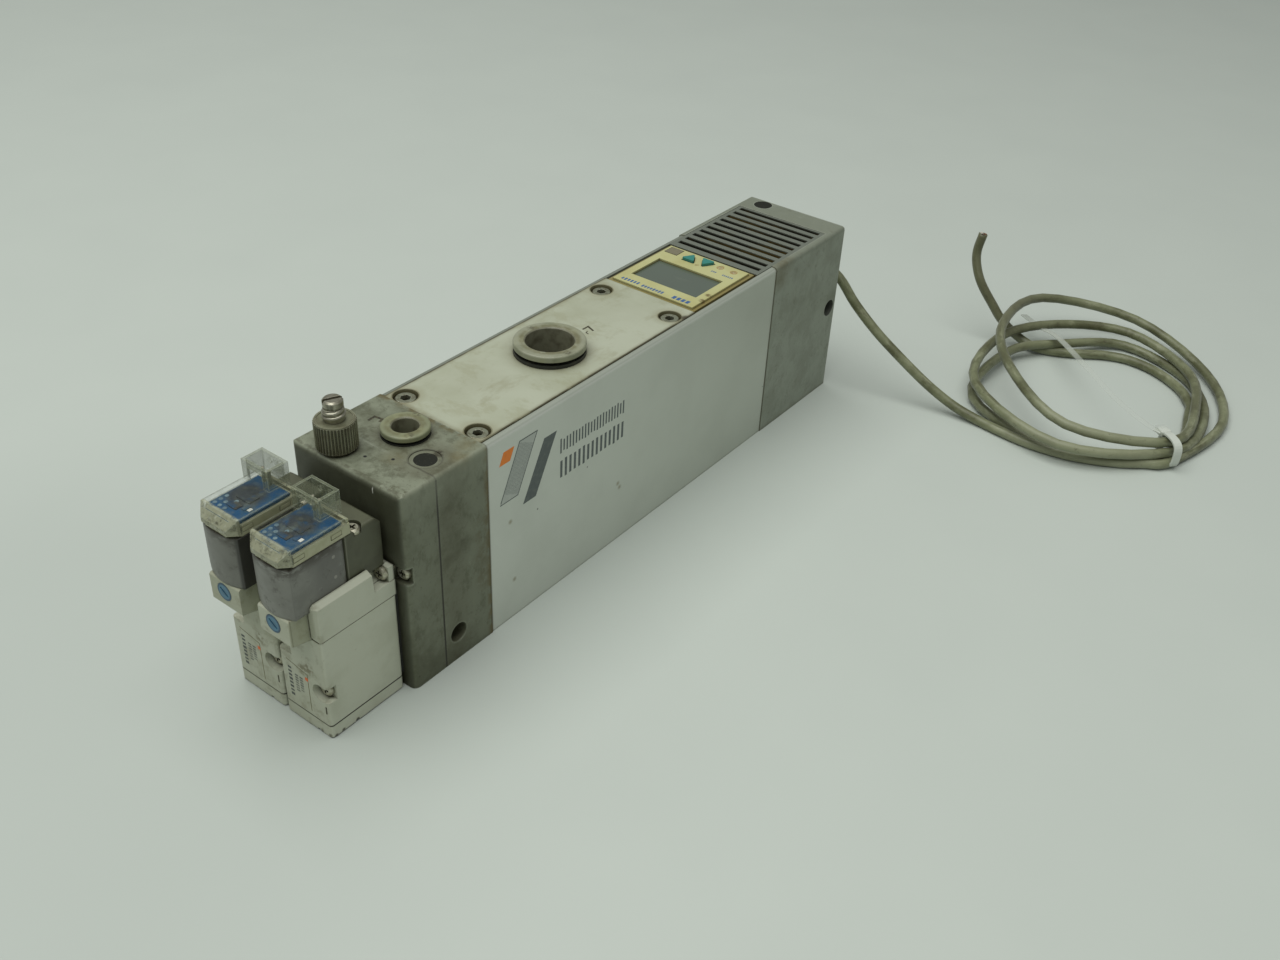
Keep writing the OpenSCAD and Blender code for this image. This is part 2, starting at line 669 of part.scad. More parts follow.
// Moulded body: block with a notch, a keyhole recess, a deck and the override's nose
module valve_body(x) color("#b9bbab") translate([x, y_front, 0]) difference() {
    union() {
        translate([0, -valve_d / 2 - gasket_t / 2, body_z]) linear_extrude(shoulder_z - body_z)
            slab(valve_w, valve_d - gasket_t, 1.2);
        translate([-valve_w / 2 + 1.6, -valve_d + 0.3, shoulder_z - 1])
            cube([valve_w / 2 - 1.6 + cover_x - 0.1, valve_d - gasket_t - 0.3, deck_z - shoulder_z + 1]);
        along_x(-nose_w / 2, nose_w) polygon([
            [-valve_d + 1, shoulder_z], [-valve_d, shoulder_z], [-valve_d - nose_reach, shoulder_z + 1.7],
            [-valve_d - nose_reach, deck_z - 0.5], [-valve_d - nose_reach + 0.5, deck_z], [-valve_d + 1, deck_z]
        ]);
    }
    translate([-valve_w / 2 - 1, -valve_d - 1, 25]) cube([6.7, 5.5, shoulder_z - 25]);
    bar_y([keyhole_x, -valve_d - 1, keyhole_z], 3, 4.4);
    translate([keyhole_x, -valve_d - 1, keyhole_z - 2.6]) cube([5, 4.4, 5.4]);
    bar_y([keyhole_x, -valve_d, keyhole_z], pan_thread_r + slip, valve_d + 1);
    translate([keyhole_x + 1.6, -valve_d - 1, 9.2]) cube([0.6, 1.8, 3]);
    bar_z([0, spool_y, body_z - 1], spool_r, deck_z - body_z - 5);
    for (z = port_z) bar_y([0, spool_y, z], port_r, -spool_y + 1);
    bar_y([-0.5, -valve_d - nose_reach - 1, override_z], override_r + run, 9);
    lug_bore();
}

// End plate under the body, with a shallow nick in its lower edges
module bottom_plate(x) color("#b4b6a5") translate([x, y_front, 0]) difference() {
    translate([0, -valve_d / 2 - gasket_t / 2, foot_z]) linear_extrude(foot_t)
        slab(valve_w, valve_d - gasket_t, 1.2);
    translate([valve_w / 2 - 1, -valve_d + 9, foot_z - 1]) cube([2, 1.2, 1.6]);
    translate([keyhole_x - 3, -valve_d - 1, foot_z - 1]) cube([1.2, 2, 1.6]);
}

// Raised cover along the right edge: tall cheek with a bevelled top, then a lug and its tab
module side_cover(x) color("#bdbfaf") translate([x, y_front, 0]) difference() {
    union() {
        intersection() {
            along_x(cover_x, valve_w / 2 - cover_x) polygon([
                [-gasket_t, shoulder_z + 0.1], [-valve_d + 0.2, shoulder_z + 0.1],
                [-valve_d - 0.4, shoulder_z + 1.4], [-valve_d - 0.5, side_cover_top - 1],
                [-valve_d + 0.5, side_cover_top], [-9.2, side_cover_top],
                [-8.6, lug_z - 2.6], [-gasket_t, lug_z - 2.6]
            ]);
            along_y(-valve_d - 1, valve_d + 1) polygon([
                [cover_x, shoulder_z], [valve_w / 2, shoulder_z], [valve_w / 2, side_cover_top - 1.2],
                [valve_w / 2 - 1.6, side_cover_top], [cover_x, side_cover_top]
            ]);
            translate([0, -valve_d / 2, shoulder_z]) linear_extrude(20) slab(valve_w, valve_d + 1, 1.4);
        }
        translate([cover_x, -2.9, lug_z - 2.7]) cube([valve_w / 2 - cover_x - 0.3, 2.9 - gasket_t, 5.2]);
    }
    translate([0, -valve_d - 1, deck_z]) cube([pilot_w / 2 + slip, valve_d + 1, 10]);
    lug_bore();
}

// Cast pilot block at the back of the deck, with a pocket for its screw
module pilot_block(x) color("#6e6f69") translate([x, y_front, 0]) difference() {
    along_y(solenoid_back + 0.1, pilot_back - solenoid_back - 0.1) translate([0, pilot_z])
        arch(pilot_w - 0.6, pilot_top - pilot_z, 0.8);
    translate([-pilot_w / 2 - 1, pilot_back, pilot_top - 2]) rotate([45, 0, 0]) cube([pilot_w + 2, 4, 4]);
    bar_z([pilot_screw_x, pilot_screw_y, pilot_top - 1.9], pan_head_r + 0.3, 4);
    bar_z([pilot_screw_x, pilot_screw_y, pilot_z - 1], pan_thread_r, pilot_top - pilot_z);
}

// Solenoid's moulded housing, with a bowed front and its lower left edge rounded off
module solenoid(x) color("#85848a") translate([x, y_front, 0]) intersection() {
    translate([0, 0, pilot_z]) linear_extrude(pilot_top - pilot_z) intersection() {
        translate([0, (solenoid_front + solenoid_back) / 2 - 0.7])
            slab(pilot_w, solenoid_back - solenoid_front + 1.4, 1.8);
        translate([0, solenoid_front - 1.4 + bow_r]) circle(bow_r, $fn = 128);
        translate([-pilot_w, solenoid_front - 3]) square([2 * pilot_w, solenoid_back - solenoid_front + 3]);
    }
    along_y(solenoid_front - 3, solenoid_back - solenoid_front + 3) {
        translate([-pilot_w / 2, pilot_z + heel_r]) square([pilot_w, pilot_top - pilot_z - heel_r]);
        translate([heel_r - pilot_w / 2, pilot_z]) square([pilot_w - heel_r, pilot_top - pilot_z]);
        translate([heel_r - pilot_w / 2, pilot_z + heel_r]) circle(heel_r);
    }
}

// Outline of the pilot connector from above, with its two front corners cut
module connector_outline(w, front, back, cut) polygon([
    [-w / 2, back], [-w / 2, front + cut], [-w / 2 + cut, front], [w / 2 - cut, front],
    [w / 2, front + cut], [w / 2, back]
]);

// Outline of the board and of the ring that carries it, clear inside the lid
module board_outline() connector_outline(
    pilot_w - 2 * hood_wall - 2 * slip, base_front + 2 * hood_wall + slip, base_back - 2.2, 1.8
);

// Tray with its rim cut low behind the lid's visor, a ring that carries the board, latch slots
// and an upstand
module connector_base(x) color("#b5b591") translate([x, y_front, 0]) difference() {
    union() {
        intersection() {
            translate([0, 0, pilot_top]) linear_extrude(8)
                connector_outline(pilot_w - 0.4, base_front + 0.4, base_back, 3);
            along_x(-pilot_w / 2, pilot_w) polygon([
                [base_back, pilot_top + slip], [base_back, board_z - slip],
                [visor_y + slip, board_z - slip], [visor_y + slip, visor_z - slip],
                [base_front, visor_z - slip], [base_front, pilot_top + slip]
            ]);
        }
        translate([0, 0, pilot_top + slip]) linear_extrude(board_z - pilot_top - 2 * slip) board_outline();
        translate([-pilot_w / 2 + 0.6, base_back - 0.9, pilot_top + slip])
            cube([pilot_w - 1.2, 0.9, hood_z - pilot_top - 1 - 2 * slip]);
    }
    translate([0, 0, pilot_top + 1.6]) linear_extrude(4)
        connector_outline(pilot_w - 3.4, base_front + 2.6, base_back - 3, 1.6);
    for (y = [-32.4, -19.6]) translate([pilot_w / 2 - 0.8, y, pilot_top + 1.2]) cube([1, 3.8, 1.6]);
}

// Blue board with its coil driver parts
module circuit_board(x) color("#2f6ea8") translate([x, y_front, board_z]) {
    linear_extrude(board_t) board_outline();
    translate([-2.2, -29.6, board_t - 0.1]) cube([3, 1.6, 0.35]);
    translate([2.6, -28.4, board_t - 0.1]) cube([1.4, 2.4, 0.35]);
    translate([-3, -25.6, board_t - 0.1]) cube([5.4, 3.6, 0.35]);
}

// Clear lid over the board: visor down over the front, and a plug socket that is open at the top
module clear_hood(x) color("#d8dccd", 0.4) translate([x, y_front, 0]) difference() {
    union() {
        intersection() {
            along_x(-pilot_w / 2, pilot_w) polygon([
                [base_back - 1, board_z + slip], [visor_y, board_z + slip], [visor_y, visor_z],
                [base_front, visor_z], [base_front, visor_z + 1.6], [base_front + 2.4, hood_z],
                [base_back - 1, hood_z]
            ]);
            translate([0, 0, pilot_top]) linear_extrude(8)
                connector_outline(pilot_w, base_front - 1, base_back - 1, 3.2);
        }
        translate([socket_x - socket_w / 2, socket_back - socket_d, hood_z - 1])
            cube([socket_w, socket_d, socket_h + 1]);
    }
    translate([0, 0, pilot_top]) linear_extrude(hood_z - pilot_top - 1)
        connector_outline(pilot_w - 2 * hood_wall, base_front + 2 * hood_wall, base_back - 2, 1.8);
    translate([socket_x, socket_back - socket_d / 2, hood_z]) {
        translate([-socket_w / 2 + socket_wall, -socket_d / 2 + socket_wall, 0])
            cube([socket_w - 2 * socket_wall, socket_d - 2 * socket_wall, socket_h + 1]);
        translate([-socket_w / 2 + 2, -socket_d / 2 - 1, 0]) cube([socket_w - 4.4, 2.5, socket_h - 2.1]);
        for (px = [-1.6, 1.6]) bar_y([px, socket_d / 2 - 1.5, socket_h - 2.4], 0.75, 2);
        for (px = [-1.3, 1.3]) bar_z([px, 0, -2], 0.55, 3);
    }
}

// Two contact pins in each plug socket
module plug_pins() color("#b9b39a") at_valves()
    for (px = [-1.3, 1.3]) bar_z([socket_x + px, socket_back - socket_d / 2, board_z + board_t], 0.45, 4.8);

// Blue push button in the nose, with a screwdriver slot
module override_button(x) color("#3a7aa6")
    translate([x - 0.5, y_front - valve_d - nose_reach - 0.1, override_z]) rotate([-90, 0, 0]) difference() {
        cylinder(r = override_r, h = 6);
        rotate(35) translate([-1.9, -0.35, -1]) cube([3.8, 0.7, 1.7]);
    }

// Spool with three lands in the body's vertical bore
module spool(x) color("#9a9c9e") translate([x, y_front + spool_y, body_z + 1.2]) {
    cylinder(r = spool_r / 2, h = 30);
    for (z = [0, 11, 24]) translate([0, 0, z]) cylinder(r = spool_r - run, h = 6);
}

// Rubber gaskets between the valves and the plate
module valve_gaskets() color("#3a3b37") at_valves() difference() {
    translate([-valve_w / 2 + 0.6, -gasket_t, body_z + 0.4])
        cube([valve_w - 1.2, gasket_t, shoulder_z - body_z]);
    for (z = port_z) bar_y([0, -2, z], port_r, 3);
    bar_y([keyhole_x, -2, keyhole_z], pan_thread_r + slip, 3);
}

// Cross-recessed pan-head screw along Z, its head's underside at the origin
module pan_screw(shank) difference() {
    union() {
        cylinder(r = pan_head_r, h = pan_head_h - 0.5);
        translate([0, 0, pan_head_h - 0.5]) cylinder(r1 = pan_head_r, r2 = pan_head_r - 0.6, h = 0.5);
        translate([0, 0, -shank]) cylinder(r = pan_thread_r, h = shank + 0.1);
    }
    for (turn = [0, 90]) rotate(turn) translate([-1.3, -0.3, pan_head_h - 0.9]) cube([2.6, 0.6, 2]);
}

// Screws that hold the valves to the plate, and the one in the plate's notch
module pan_screws() color("#9b9a8c") {
    at_valves() {
        translate([keyhole_x, -valve_d + 3.4, keyhole_z]) rotate([90, 0, 0]) pan_screw(valve_d + 2);
        translate([lug_x, -2.9, lug_z]) rotate([90, 0, 0]) pan_screw(10);
    }
    translate([body_w / 2 - 3.2, y_front + 2.6, 43.3]) rotate([90, 0, 0]) pan_screw(7);
}

module pilot_screws() color("#8f8e84") at_valves()
    translate([pilot_screw_x, pilot_screw_y, pilot_top - 1.9]) pan_screw(14);

module left_valve_body() valve_body(valve_x[0]);
module left_bottom_plate() bottom_plate(valve_x[0]);
module left_side_cover() side_cover(valve_x[0]);
module left_pilot_block() pilot_block(valve_x[0]);
module left_solenoid() solenoid(valve_x[0]);
module left_connector_base() connector_base(valve_x[0]);
module left_circuit_board() circuit_board(valve_x[0]);
module left_clear_hood() clear_hood(valve_x[0]);
module left_override() override_button(valve_x[0]);
module left_spool() spool(valve_x[0]);
module right_valve_body() valve_body(valve_x[1]);
module right_bottom_plate() bottom_plate(valve_x[1]);
module right_side_cover() side_cover(valve_x[1]);
module right_pilot_block() pilot_block(valve_x[1]);
module right_solenoid() solenoid(valve_x[1]);
module right_connector_base() connector_base(valve_x[1]);
module right_circuit_board() circuit_board(valve_x[1]);
module right_clear_hood() clear_hood(valve_x[1]);
module right_override() override_button(valve_x[1]);
module right_spool() spool(valve_x[1]);

// ---------------------------------------------------------------- lead

function unit(v) = v / norm(v);

// Point at t between the second and third of four route points, on a smooth curve through them
function between(a, b, c, d, t) =
    0.5 * (2 * b + (c - a) * t + (2 * a - 5 * b + 4 * c - d) * t * t + (3 * b - a - 3 * c + d) * t * t * t);

// Route with extra points between its own ones
function smooth(route, parts) = let (last = len(route) - 1) concat(
    [for (i = [0 : last - 1], k = [0 : parts - 1])
        between(route[max(i - 1, 0)], route[i], route[i + 1], route[min(i + 2, last)], k / parts)],
    [route[last]]
);

// Round tube along a route, as one closed skin
module tube(route, r, sides) {
    last = len(route) - 1;
    points = [for (i = [0 : last]) let (
        ahead = unit(route[min(i + 1, last)] - route[max(i - 1, 0)]),
        across = unit(cross(ahead, [0.2, 0.3, 1])),
        over = cross(across, ahead)
    ) for (k = [0 : sides - 1]) route[i] + r * (cos(360 * k / sides) * across + sin(360 * k / sides) * over)];
    walls = [for (i = [0 : last - 1], k = [0 : sides - 1]) let (n = (k + 1) % sides)
        each [[i * sides + k, (i + 1) * sides + k, i * sides + n],
              [i * sides + n, (i + 1) * sides + k, (i + 1) * sides + n]]];
    ends = [[for (k = [0 : sides - 1]) k], [for (k = [sides - 1 : -1 : 0]) last * sides + k]];
    polyhedron(points, concat(walls, ends), convexity = 8);
}

// Strain relief in the rear face
module cable_grommet() color("#232523") difference() {
    union() {
        bar_y([gland_x, y_end - 6, gland_z], 3.2, 6.1);
        bar_y([gland_x, y_end, gland_z], 4.2, gland_rise);
    }
    bar_y([gland_x, y_end - 7, gland_z], lead_r - 0.2, 7 + gland_rise);
}

module cable_lead() color("#7d7c63") tube(smooth(lead_route, 2), lead_r, 8);
module cable_tail() color("#7d7c63") tube(smooth(tail_route, 2), lead_r, 8);

module cable_coil() color("#86856c") translate([coil_x, coil_y, 0]) rotate_extrude($fn = 96)
    translate([coil_inner_r, 0]) square([coil_outer_r - coil_inner_r, coil_h]);

// Tie round the turns, with its head and its long free end
module cable_tie() color("#d9ddd6") translate(tie_at) {
    rotate([0, 90, tie_turn]) difference() {
        cylinder(r = strap_r, h = strap_w, center = true);
        cylinder(r = strap_r - strap_t, h = strap_w + 1, center = true);
    }
    rotate(tie_turn) translate([-2.4, -2, strap_r - 0.6]) cube([4.8, 5, 3.4]);
    rotate(strap_tail_turn) translate([0, -strap_w / 2 + 0.4, strap_r + 0.8])
        cube([strap_tail, strap_w - 0.8, strap_t]);
}

adapter_plate();
supply_block();
body_channel();
top_cover();
cover_screws();
rear_cover();
tie_bolts();
rear_plug();
blank_plug();
grille();
silencer_element();
nozzle();
first_diffuser();
second_diffuser();
stage_plates();
flap_valves();
vacuum_socket();
vacuum_seal();
vacuum_release_ring();
supply_socket();
supply_seal();
supply_release_ring();
needle_spindle();
lock_nut();
switch_case();
display_window();
switch_board();
indicator_lights();
set_button();
up_button();
down_button();
left_valve_body();
left_bottom_plate();
left_side_cover();
left_pilot_block();
left_solenoid();
left_connector_base();
left_circuit_board();
left_clear_hood();
left_override();
left_spool();
right_valve_body();
right_bottom_plate();
right_side_cover();
right_pilot_block();
right_solenoid();
right_connector_base();
right_circuit_board();
right_clear_hood();
right_override();
right_spool();
valve_gaskets();
plug_pins();
pan_screws();
pilot_screws();
cable_grommet();
cable_lead();
cable_coil();
cable_tail();
cable_tie();
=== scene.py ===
# Multistage vacuum ejector with its two pilot valves, vacuum switch and coiled lead, on a pale bench.
import math

import bmesh
import bpy
from mathutils import Matrix, Vector


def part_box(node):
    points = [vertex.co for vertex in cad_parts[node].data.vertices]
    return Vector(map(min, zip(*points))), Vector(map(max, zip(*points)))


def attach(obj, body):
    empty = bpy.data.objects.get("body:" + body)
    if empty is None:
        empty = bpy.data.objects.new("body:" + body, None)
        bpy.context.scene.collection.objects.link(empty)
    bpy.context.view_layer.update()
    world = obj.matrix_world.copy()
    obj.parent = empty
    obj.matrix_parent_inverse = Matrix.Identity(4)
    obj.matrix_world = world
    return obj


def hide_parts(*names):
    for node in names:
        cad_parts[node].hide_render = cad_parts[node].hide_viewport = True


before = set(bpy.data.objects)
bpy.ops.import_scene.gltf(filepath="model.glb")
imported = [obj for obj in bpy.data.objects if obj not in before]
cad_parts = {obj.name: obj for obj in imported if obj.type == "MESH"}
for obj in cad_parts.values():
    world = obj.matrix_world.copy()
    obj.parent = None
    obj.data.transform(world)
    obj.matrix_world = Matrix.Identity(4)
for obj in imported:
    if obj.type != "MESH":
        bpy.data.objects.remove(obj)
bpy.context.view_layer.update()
scene = bpy.context.scene
mm = 0.001


# ------------------------------------------------------------------ camera
# A 36 mm-wide sensor behind a 36.5 mm lens, held at arm's length over the valve end.
# It looks along the body from the right, 35 degrees down, and leans 2.8 degrees to one side.
azimuth, elevation, lean = (math.radians(a) for a in (35.7145, 35.0115, 2.8439))
look = Vector(
    (
        -math.sin(azimuth) * math.cos(elevation),
        math.cos(azimuth) * math.cos(elevation),
        -math.sin(elevation),
    )
)
across = look.cross(Vector((0, 0, 1))).normalized()
upward = across.cross(look)
camera_x = math.cos(lean) * across + math.sin(lean) * upward
camera_y = math.cos(lean) * upward - math.sin(lean) * across

camera = bpy.data.objects.new("camera", bpy.data.cameras.new("camera"))
camera.data.sensor_width = 36
camera.data.lens = 36.547
camera.data.clip_start = 0.01
camera.matrix_world = Matrix.Translation((0.24093, -0.21229, 0.28100)) @ Matrix(
    (camera_x, camera_y, -look)
).transposed().to_4x4()
scene.collection.objects.link(camera)
scene.camera = camera
scene.view_settings.view_transform = "Standard"


# ------------------------------------------------------------------ bench and light
# Matt pale grey-green laminate under one wide ceiling panel, with the room's own light all round.
# The panel hangs on the valve side, so the far end of the bench falls off a little.
def paint(colour):
    """Linear colour from the red, green and blue of a paint chart, each from 0 to 255."""
    parts = [c / 255 for c in colour]
    return tuple(c / 12.92 if c < 0.04 else ((c + 0.055) / 1.055) ** 2.4 for c in parts) + (1.0,)


def placed(name, mesh):
    """Object of a mesh, put into the scene."""
    piece = bpy.data.objects.new(name, mesh)
    scene.collection.objects.link(piece)
    return piece


def of_faces(name, points, faces):
    """Object of points and the faces between them."""
    mesh = bpy.data.meshes.new(name)
    mesh.from_pydata(points, [], faces)
    return placed(name, mesh)


def grid(name, low, high, cells):
    """Square flat sheet of cells, from low to high along both axes."""
    row = cells + 1
    steps = [low + (high - low) * i / cells for i in range(row)]
    corners = [j * row + i for j in range(cells) for i in range(cells)]
    cell_faces = [(c, c + 1, c + row + 1, c + row) for c in corners]
    return of_faces(name, [(x, y, 0) for y in steps for x in steps], cell_faces)


class Finish:
    """A material built up in layers, with its patterns in object coordinates and in millimetres."""

    def __init__(self, name, colour, rough=0.5, metal=0.0, **sockets):
        self.material = bpy.data.materials.new(name)
        self.material.use_nodes = True
        self.nodes = self.material.node_tree.nodes
        self.links = self.material.node_tree.links
        self.skin = self.nodes["Principled BSDF"]
        self.colour, self.normal = paint(colour), None
        start = {"Base Color": self.colour, "Roughness": rough, "Metallic": metal}
        for key, value in (start | {k.replace("_", " "): v for k, v in sockets.items()}).items():
            self.skin.inputs[key].default_value = value
        here = self.node("ShaderNodeTexCoord").outputs["Object"]
        self.place = self.node(
            "ShaderNodeVectorMath", {0: here, "Scale": 1000}, operation="SCALE"
        ).outputs[0]

    def node(self, kind, inputs=(), **settings):
        """Node with its settings and inputs filled in. An input that is an output of another is linked."""
        made = self.nodes.new(kind)
        for key, value in settings.items():
            setattr(made, key, value)
        for key, value in dict(inputs).items():
            if isinstance(value, bpy.types.NodeSocket):
                self.links.new(value, made.inputs[key])
            else:
                made.inputs[key].default_value = value
        return made

    def math(self, how, a, b=0.0):
        """Result of one sum on two values."""
        return self.node("ShaderNodeMath", {0: a, 1: b}, operation=how).outputs[0]

    def both(self, a, b):
        """1 only where both masks are 1."""
        return self.math("MULTIPLY", a, b)

    def noise(self, size, detail=4, rough=0.55, stretch=(1, 1, 1), seed=0):
        """Cloudy pattern from 0 to 1 whose blotches are about size across."""
        scale = tuple(1 / (size * s) for s in stretch)
        shift = (seed * 7.3,) * 3
        at = self.node(
            "ShaderNodeMapping", {"Vector": self.place, "Location": shift, "Scale": scale}
        ).outputs[0]
        looks = {"Vector": at, "Scale": 1, "Detail": detail, "Roughness": rough}
        return self.node("ShaderNodeTexNoise", looks).outputs[0]

    def band(self, value, low, high):
        """0 at low and 1 at high, with soft ends."""
        steps = {0: value, 1: low, 2: high}
        return self.node("ShaderNodeMapRange", steps, interpolation_type="SMOOTHSTEP").outputs[0]

    def patches(self, size, low, high, **looks):
        """Blotches of noise: 1 where it is above high and 0 where it is below low."""
        return self.band(self.noise(size, **looks), low, high)

    def axis(self, which):
        """Distance along one axis, in millimetres."""
        return self.node("ShaderNodeSeparateXYZ", {0: self.place}).outputs[which]

    def across(self, which, low, high):
        """0 at low and 1 at high along one axis."""
        return self.band(self.axis(which), low, high)

    def line(self, which, at, width):
        """1 along a line across one axis, fading out over its width."""
        return self.band(
            self.math("ABSOLUTE", self.math("SUBTRACT", self.axis(which), at)), width, width * 0.3
        )

    def edges(self, width):
        """1 along edges and 0 on flat faces."""
        soft = self.node("ShaderNodeBevel", {"Radius": width * mm}, samples=4).outputs[0]
        flat = self.node("ShaderNodeNewGeometry").outputs["Normal"]
        alike = self.node(
            "ShaderNodeVectorMath", {0: soft, 1: flat}, operation="DOT_PRODUCT"
        ).outputs["Value"]
        return self.band(alike, 0.995, 0.85)

    def corners(self, reach):
        """1 in gaps and inner corners and 0 in the open, by ambient occlusion: a darker colour laid over it
        is painted shade.
        """
        open_sky = self.node(
            "ShaderNodeAmbientOcclusion", {"Distance": reach * mm}, samples=6
        ).outputs["AO"]
        return self.band(open_sky, 0.85, 0.3)

    def near(self, points, inner, outer, along=(1, 1, 0)):
        """1 within inner of any of the points and 0 beyond outer, measured along the axes given."""
        total = None
        for point in points:
            gap = self.node(
                "ShaderNodeVectorMath", {0: self.place, 1: point}, operation="SUBTRACT"
            ).outputs[0]
            gap = self.node("ShaderNodeVectorMath", {0: gap, 1: along}, operation="MULTIPLY").outputs[0]
            far = self.node("ShaderNodeVectorMath", {0: gap}, operation="LENGTH").outputs["Value"]
            one = self.band(far, outer, inner)
            total = one if total is None else self.math("MAXIMUM", total, one)
        return total

    def tint(self, colour, amount, mask, *more):
        """Lays a colour over the ones before it, by amount, where every mask is 1."""
        for other in more:
            mask = self.both(mask, other)
        # Inputs 6 and 7 of a mix are its two colours, and output 2 is the colour mixed.
        layers = {0: self.math("MULTIPLY", mask, amount), 6: self.colour, 7: paint(colour)}
        self.colour = self.node("ShaderNodeMix", layers, data_type="RGBA").outputs[2]
        self.links.new(self.colour, self.skin.inputs["Base Color"])

    def soften(self, radius):
        """Rounds the edges in the shading."""
        self.normal = self.node("ShaderNodeBevel", {"Radius": radius * mm}, samples=4).outputs[0]
        self.links.new(self.normal, self.skin.inputs["Normal"])

    def bump(self, height, depth):
        """Raises the surface in the shading by a pattern, depth millimetres from its 0 to its 1."""
        inputs = {"Strength": 1, "Distance": depth * mm, "Height": height}
        if self.normal:
            inputs["Normal"] = self.normal
        self.normal = self.node("ShaderNodeBump", inputs).outputs[0]
        self.links.new(self.normal, self.skin.inputs["Normal"])

    def onto(self, *objects):
        """Puts the finish on objects, or on CAD nodes by name."""
        for each in objects:
            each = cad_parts[each] if isinstance(each, str) else each
            each.data.materials.clear()
            each.data.materials.append(self.material)


bench = grid("bench", -3, 3, 12)
laminate = Finish("bench_laminate", (190, 198, 190), rough=0.6)
laminate.tint((180, 188, 181), 0.5, laminate.noise(60, detail=2))
# Painted shade: the laminate is painted darker round two points to the front left of the body.
laminate.tint((172, 180, 173), 0.5, laminate.near([(-10, -125, 0), (-80, -90, 0)], 40, 150))
laminate.onto(bench)

room = bpy.data.worlds.new("room")
room.use_nodes = True
sky = room.node_tree.nodes["Background"]
sky.inputs["Color"].default_value = (0.97, 1.0, 0.97, 1)
sky.inputs["Strength"].default_value = 0.3
scene.world = room

panel = bpy.data.objects.new("ceiling_panel", bpy.data.lights.new("ceiling_panel", "AREA"))
panel.data.shape = "RECTANGLE"
panel.data.size, panel.data.size_y = 1.6, 1.6
panel.data.energy = 21
panel.data.color = (1.0, 1.0, 0.98)
panel.matrix_world = Matrix.Translation((-0.15, -0.25, 1.4))
scene.collection.objects.link(panel)


# ------------------------------------------------------------------ lead
# PVC-sheathed three-core lead: it leaves the grommet, drops over the side, makes three loose turns under
# a cable tie and ends as a bare cut that stands up beside the body.
lead_diameter = 4 * mm
lead_route = [
    (0, 223, 52), (0.8, 227.5, 51.9), (6.5, 231.4, 50), (17.5, 232.6, 44), (26.5, 232.6, 35),
    (38, 232.6, 26), (50.5, 233, 18), (64, 233.6, 10.2), (76.5, 234.5, 4.6), (89, 234.6, 2.1),
    (99, 233.2, 2.05), (109, 232.4, 2.05), (118.7, 233.2, 2.05), (128.8, 235.6, 2.05),
    (140.9, 241.2, 2.05), (151, 248.6, 2.05),
]
coil_x, coil_y, coil_start, coil_step = 115.5, 295.0, -39, 45
turn_radii = [
    57.4, 51.5, 52, 58, 56, 45.5, 45, 57.5, 53.4, 39.5, 41.5, 46.5, 42.5,
    46.5, 59, 65.5, 55.6, 44, 42, 43, 32.5, 41, 59, 60, 53.7, 38,
]
turn_heights = [
    2.05, 2.05, 3.5, 9, 16, 18.5, 16.5, 13, 8.2, 6.5, 6, 7.5, 9.5,
    10.5, 9.5, 8, 5, 2.5, 2.05, 2.5, 5, 5.5, 3, 2.05, 2.05, 2.05,
]
tail_route = [
    (148.9, 309.6, 2.05), (141.9, 317.7, 2.05), (129.7, 324.8, 2.05), (117.6, 326.8, 2.05),
    (107.5, 323.7, 2.05), (97.4, 316.7, 2.05), (88.3, 311.4, 2.1), (80.2, 308.6, 2.6), (72, 308.6, 4.8),
    (63.7, 307.3, 10.5), (57.5, 307.6, 16.5), (50.5, 307.6, 24.5), (46, 309.6, 31), (44, 311.6, 37),
    (44.8, 312.6, 45),
]


def smooth(route, parts):
    """Points of a smooth curve through the route's points, parts to each stretch, in metres."""
    route = [Vector(p) for p in route]
    route = [route[0] * 2 - route[1]] + route + [route[-1] * 2 - route[-2]]
    points = []
    for a, b, c, d in zip(route, route[1:], route[2:], route[3:]):
        for k in range(parts):
            t = k / parts
            squared = (2 * a - 5 * b + 4 * c - d) * t * t
            cubed = (3 * b - a - 3 * c + d) * t**3
            points.append((2 * b + (c - a) * t + squared + cubed) / 2 * mm)
    return points + [route[-2] * mm]


turns = []
for step, (radius, height) in enumerate(zip(turn_radii, turn_heights)):
    angle = math.radians(coil_start + coil_step * step)
    turns.append((coil_x + radius * math.cos(angle), coil_y + radius * math.sin(angle), height))
lead_path = smooth(lead_route + turns + tail_route, 5)


def swept(count, sides, closed=False):
    """Faces between count rings of points, with the ends closed too where the sweep doesn't run round."""
    faces = []
    for i in range(count if closed else count - 1):
        j = (i + 1) % count
        for k in range(sides):
            n = (k + 1) % sides
            faces.append((i * sides + k, i * sides + n, j * sides + n, j * sides + k))
    if not closed:
        faces += [tuple(range(sides - 1, -1, -1)), tuple((count - 1) * sides + k for k in range(sides))]
    return faces


def tube(name, path, radius, sides):
    """Round tube along a path, closed at both ends, with a UV that runs along it in millimetres."""
    rings, run, runs = [], 0.0, []
    ahead = (path[1] - path[0]).normalized()
    side = ahead.orthogonal().normalized()
    for i, point in enumerate(path):
        turned = (path[min(i + 1, len(path) - 1)] - path[max(i - 1, 0)]).normalized()
        side = ahead.rotation_difference(turned) @ side
        ahead = turned
        over = ahead.cross(side)
        run += (point - path[i - 1]).length if i else 0
        runs.append(run)
        for k in range(sides):
            a = math.tau * k / sides
            rings.append(point + radius * (math.cos(a) * side + math.sin(a) * over))
    piece = of_faces(name, rings, swept(len(path), sides))
    mesh = piece.data
    along = mesh.uv_layers.new(name="along")
    for face in mesh.polygons:
        face.use_smooth = len(face.vertices) == 4
        last_side = any(v % sides == sides - 1 for v in face.vertices)
        for loop in face.loop_indices:
            ring, k = divmod(mesh.loops[loop].vertex_index, sides)
            around = sides if k == 0 and last_side else k
            along.data[loop].uv = (runs[ring] / mm, around / sides)
    return piece, run


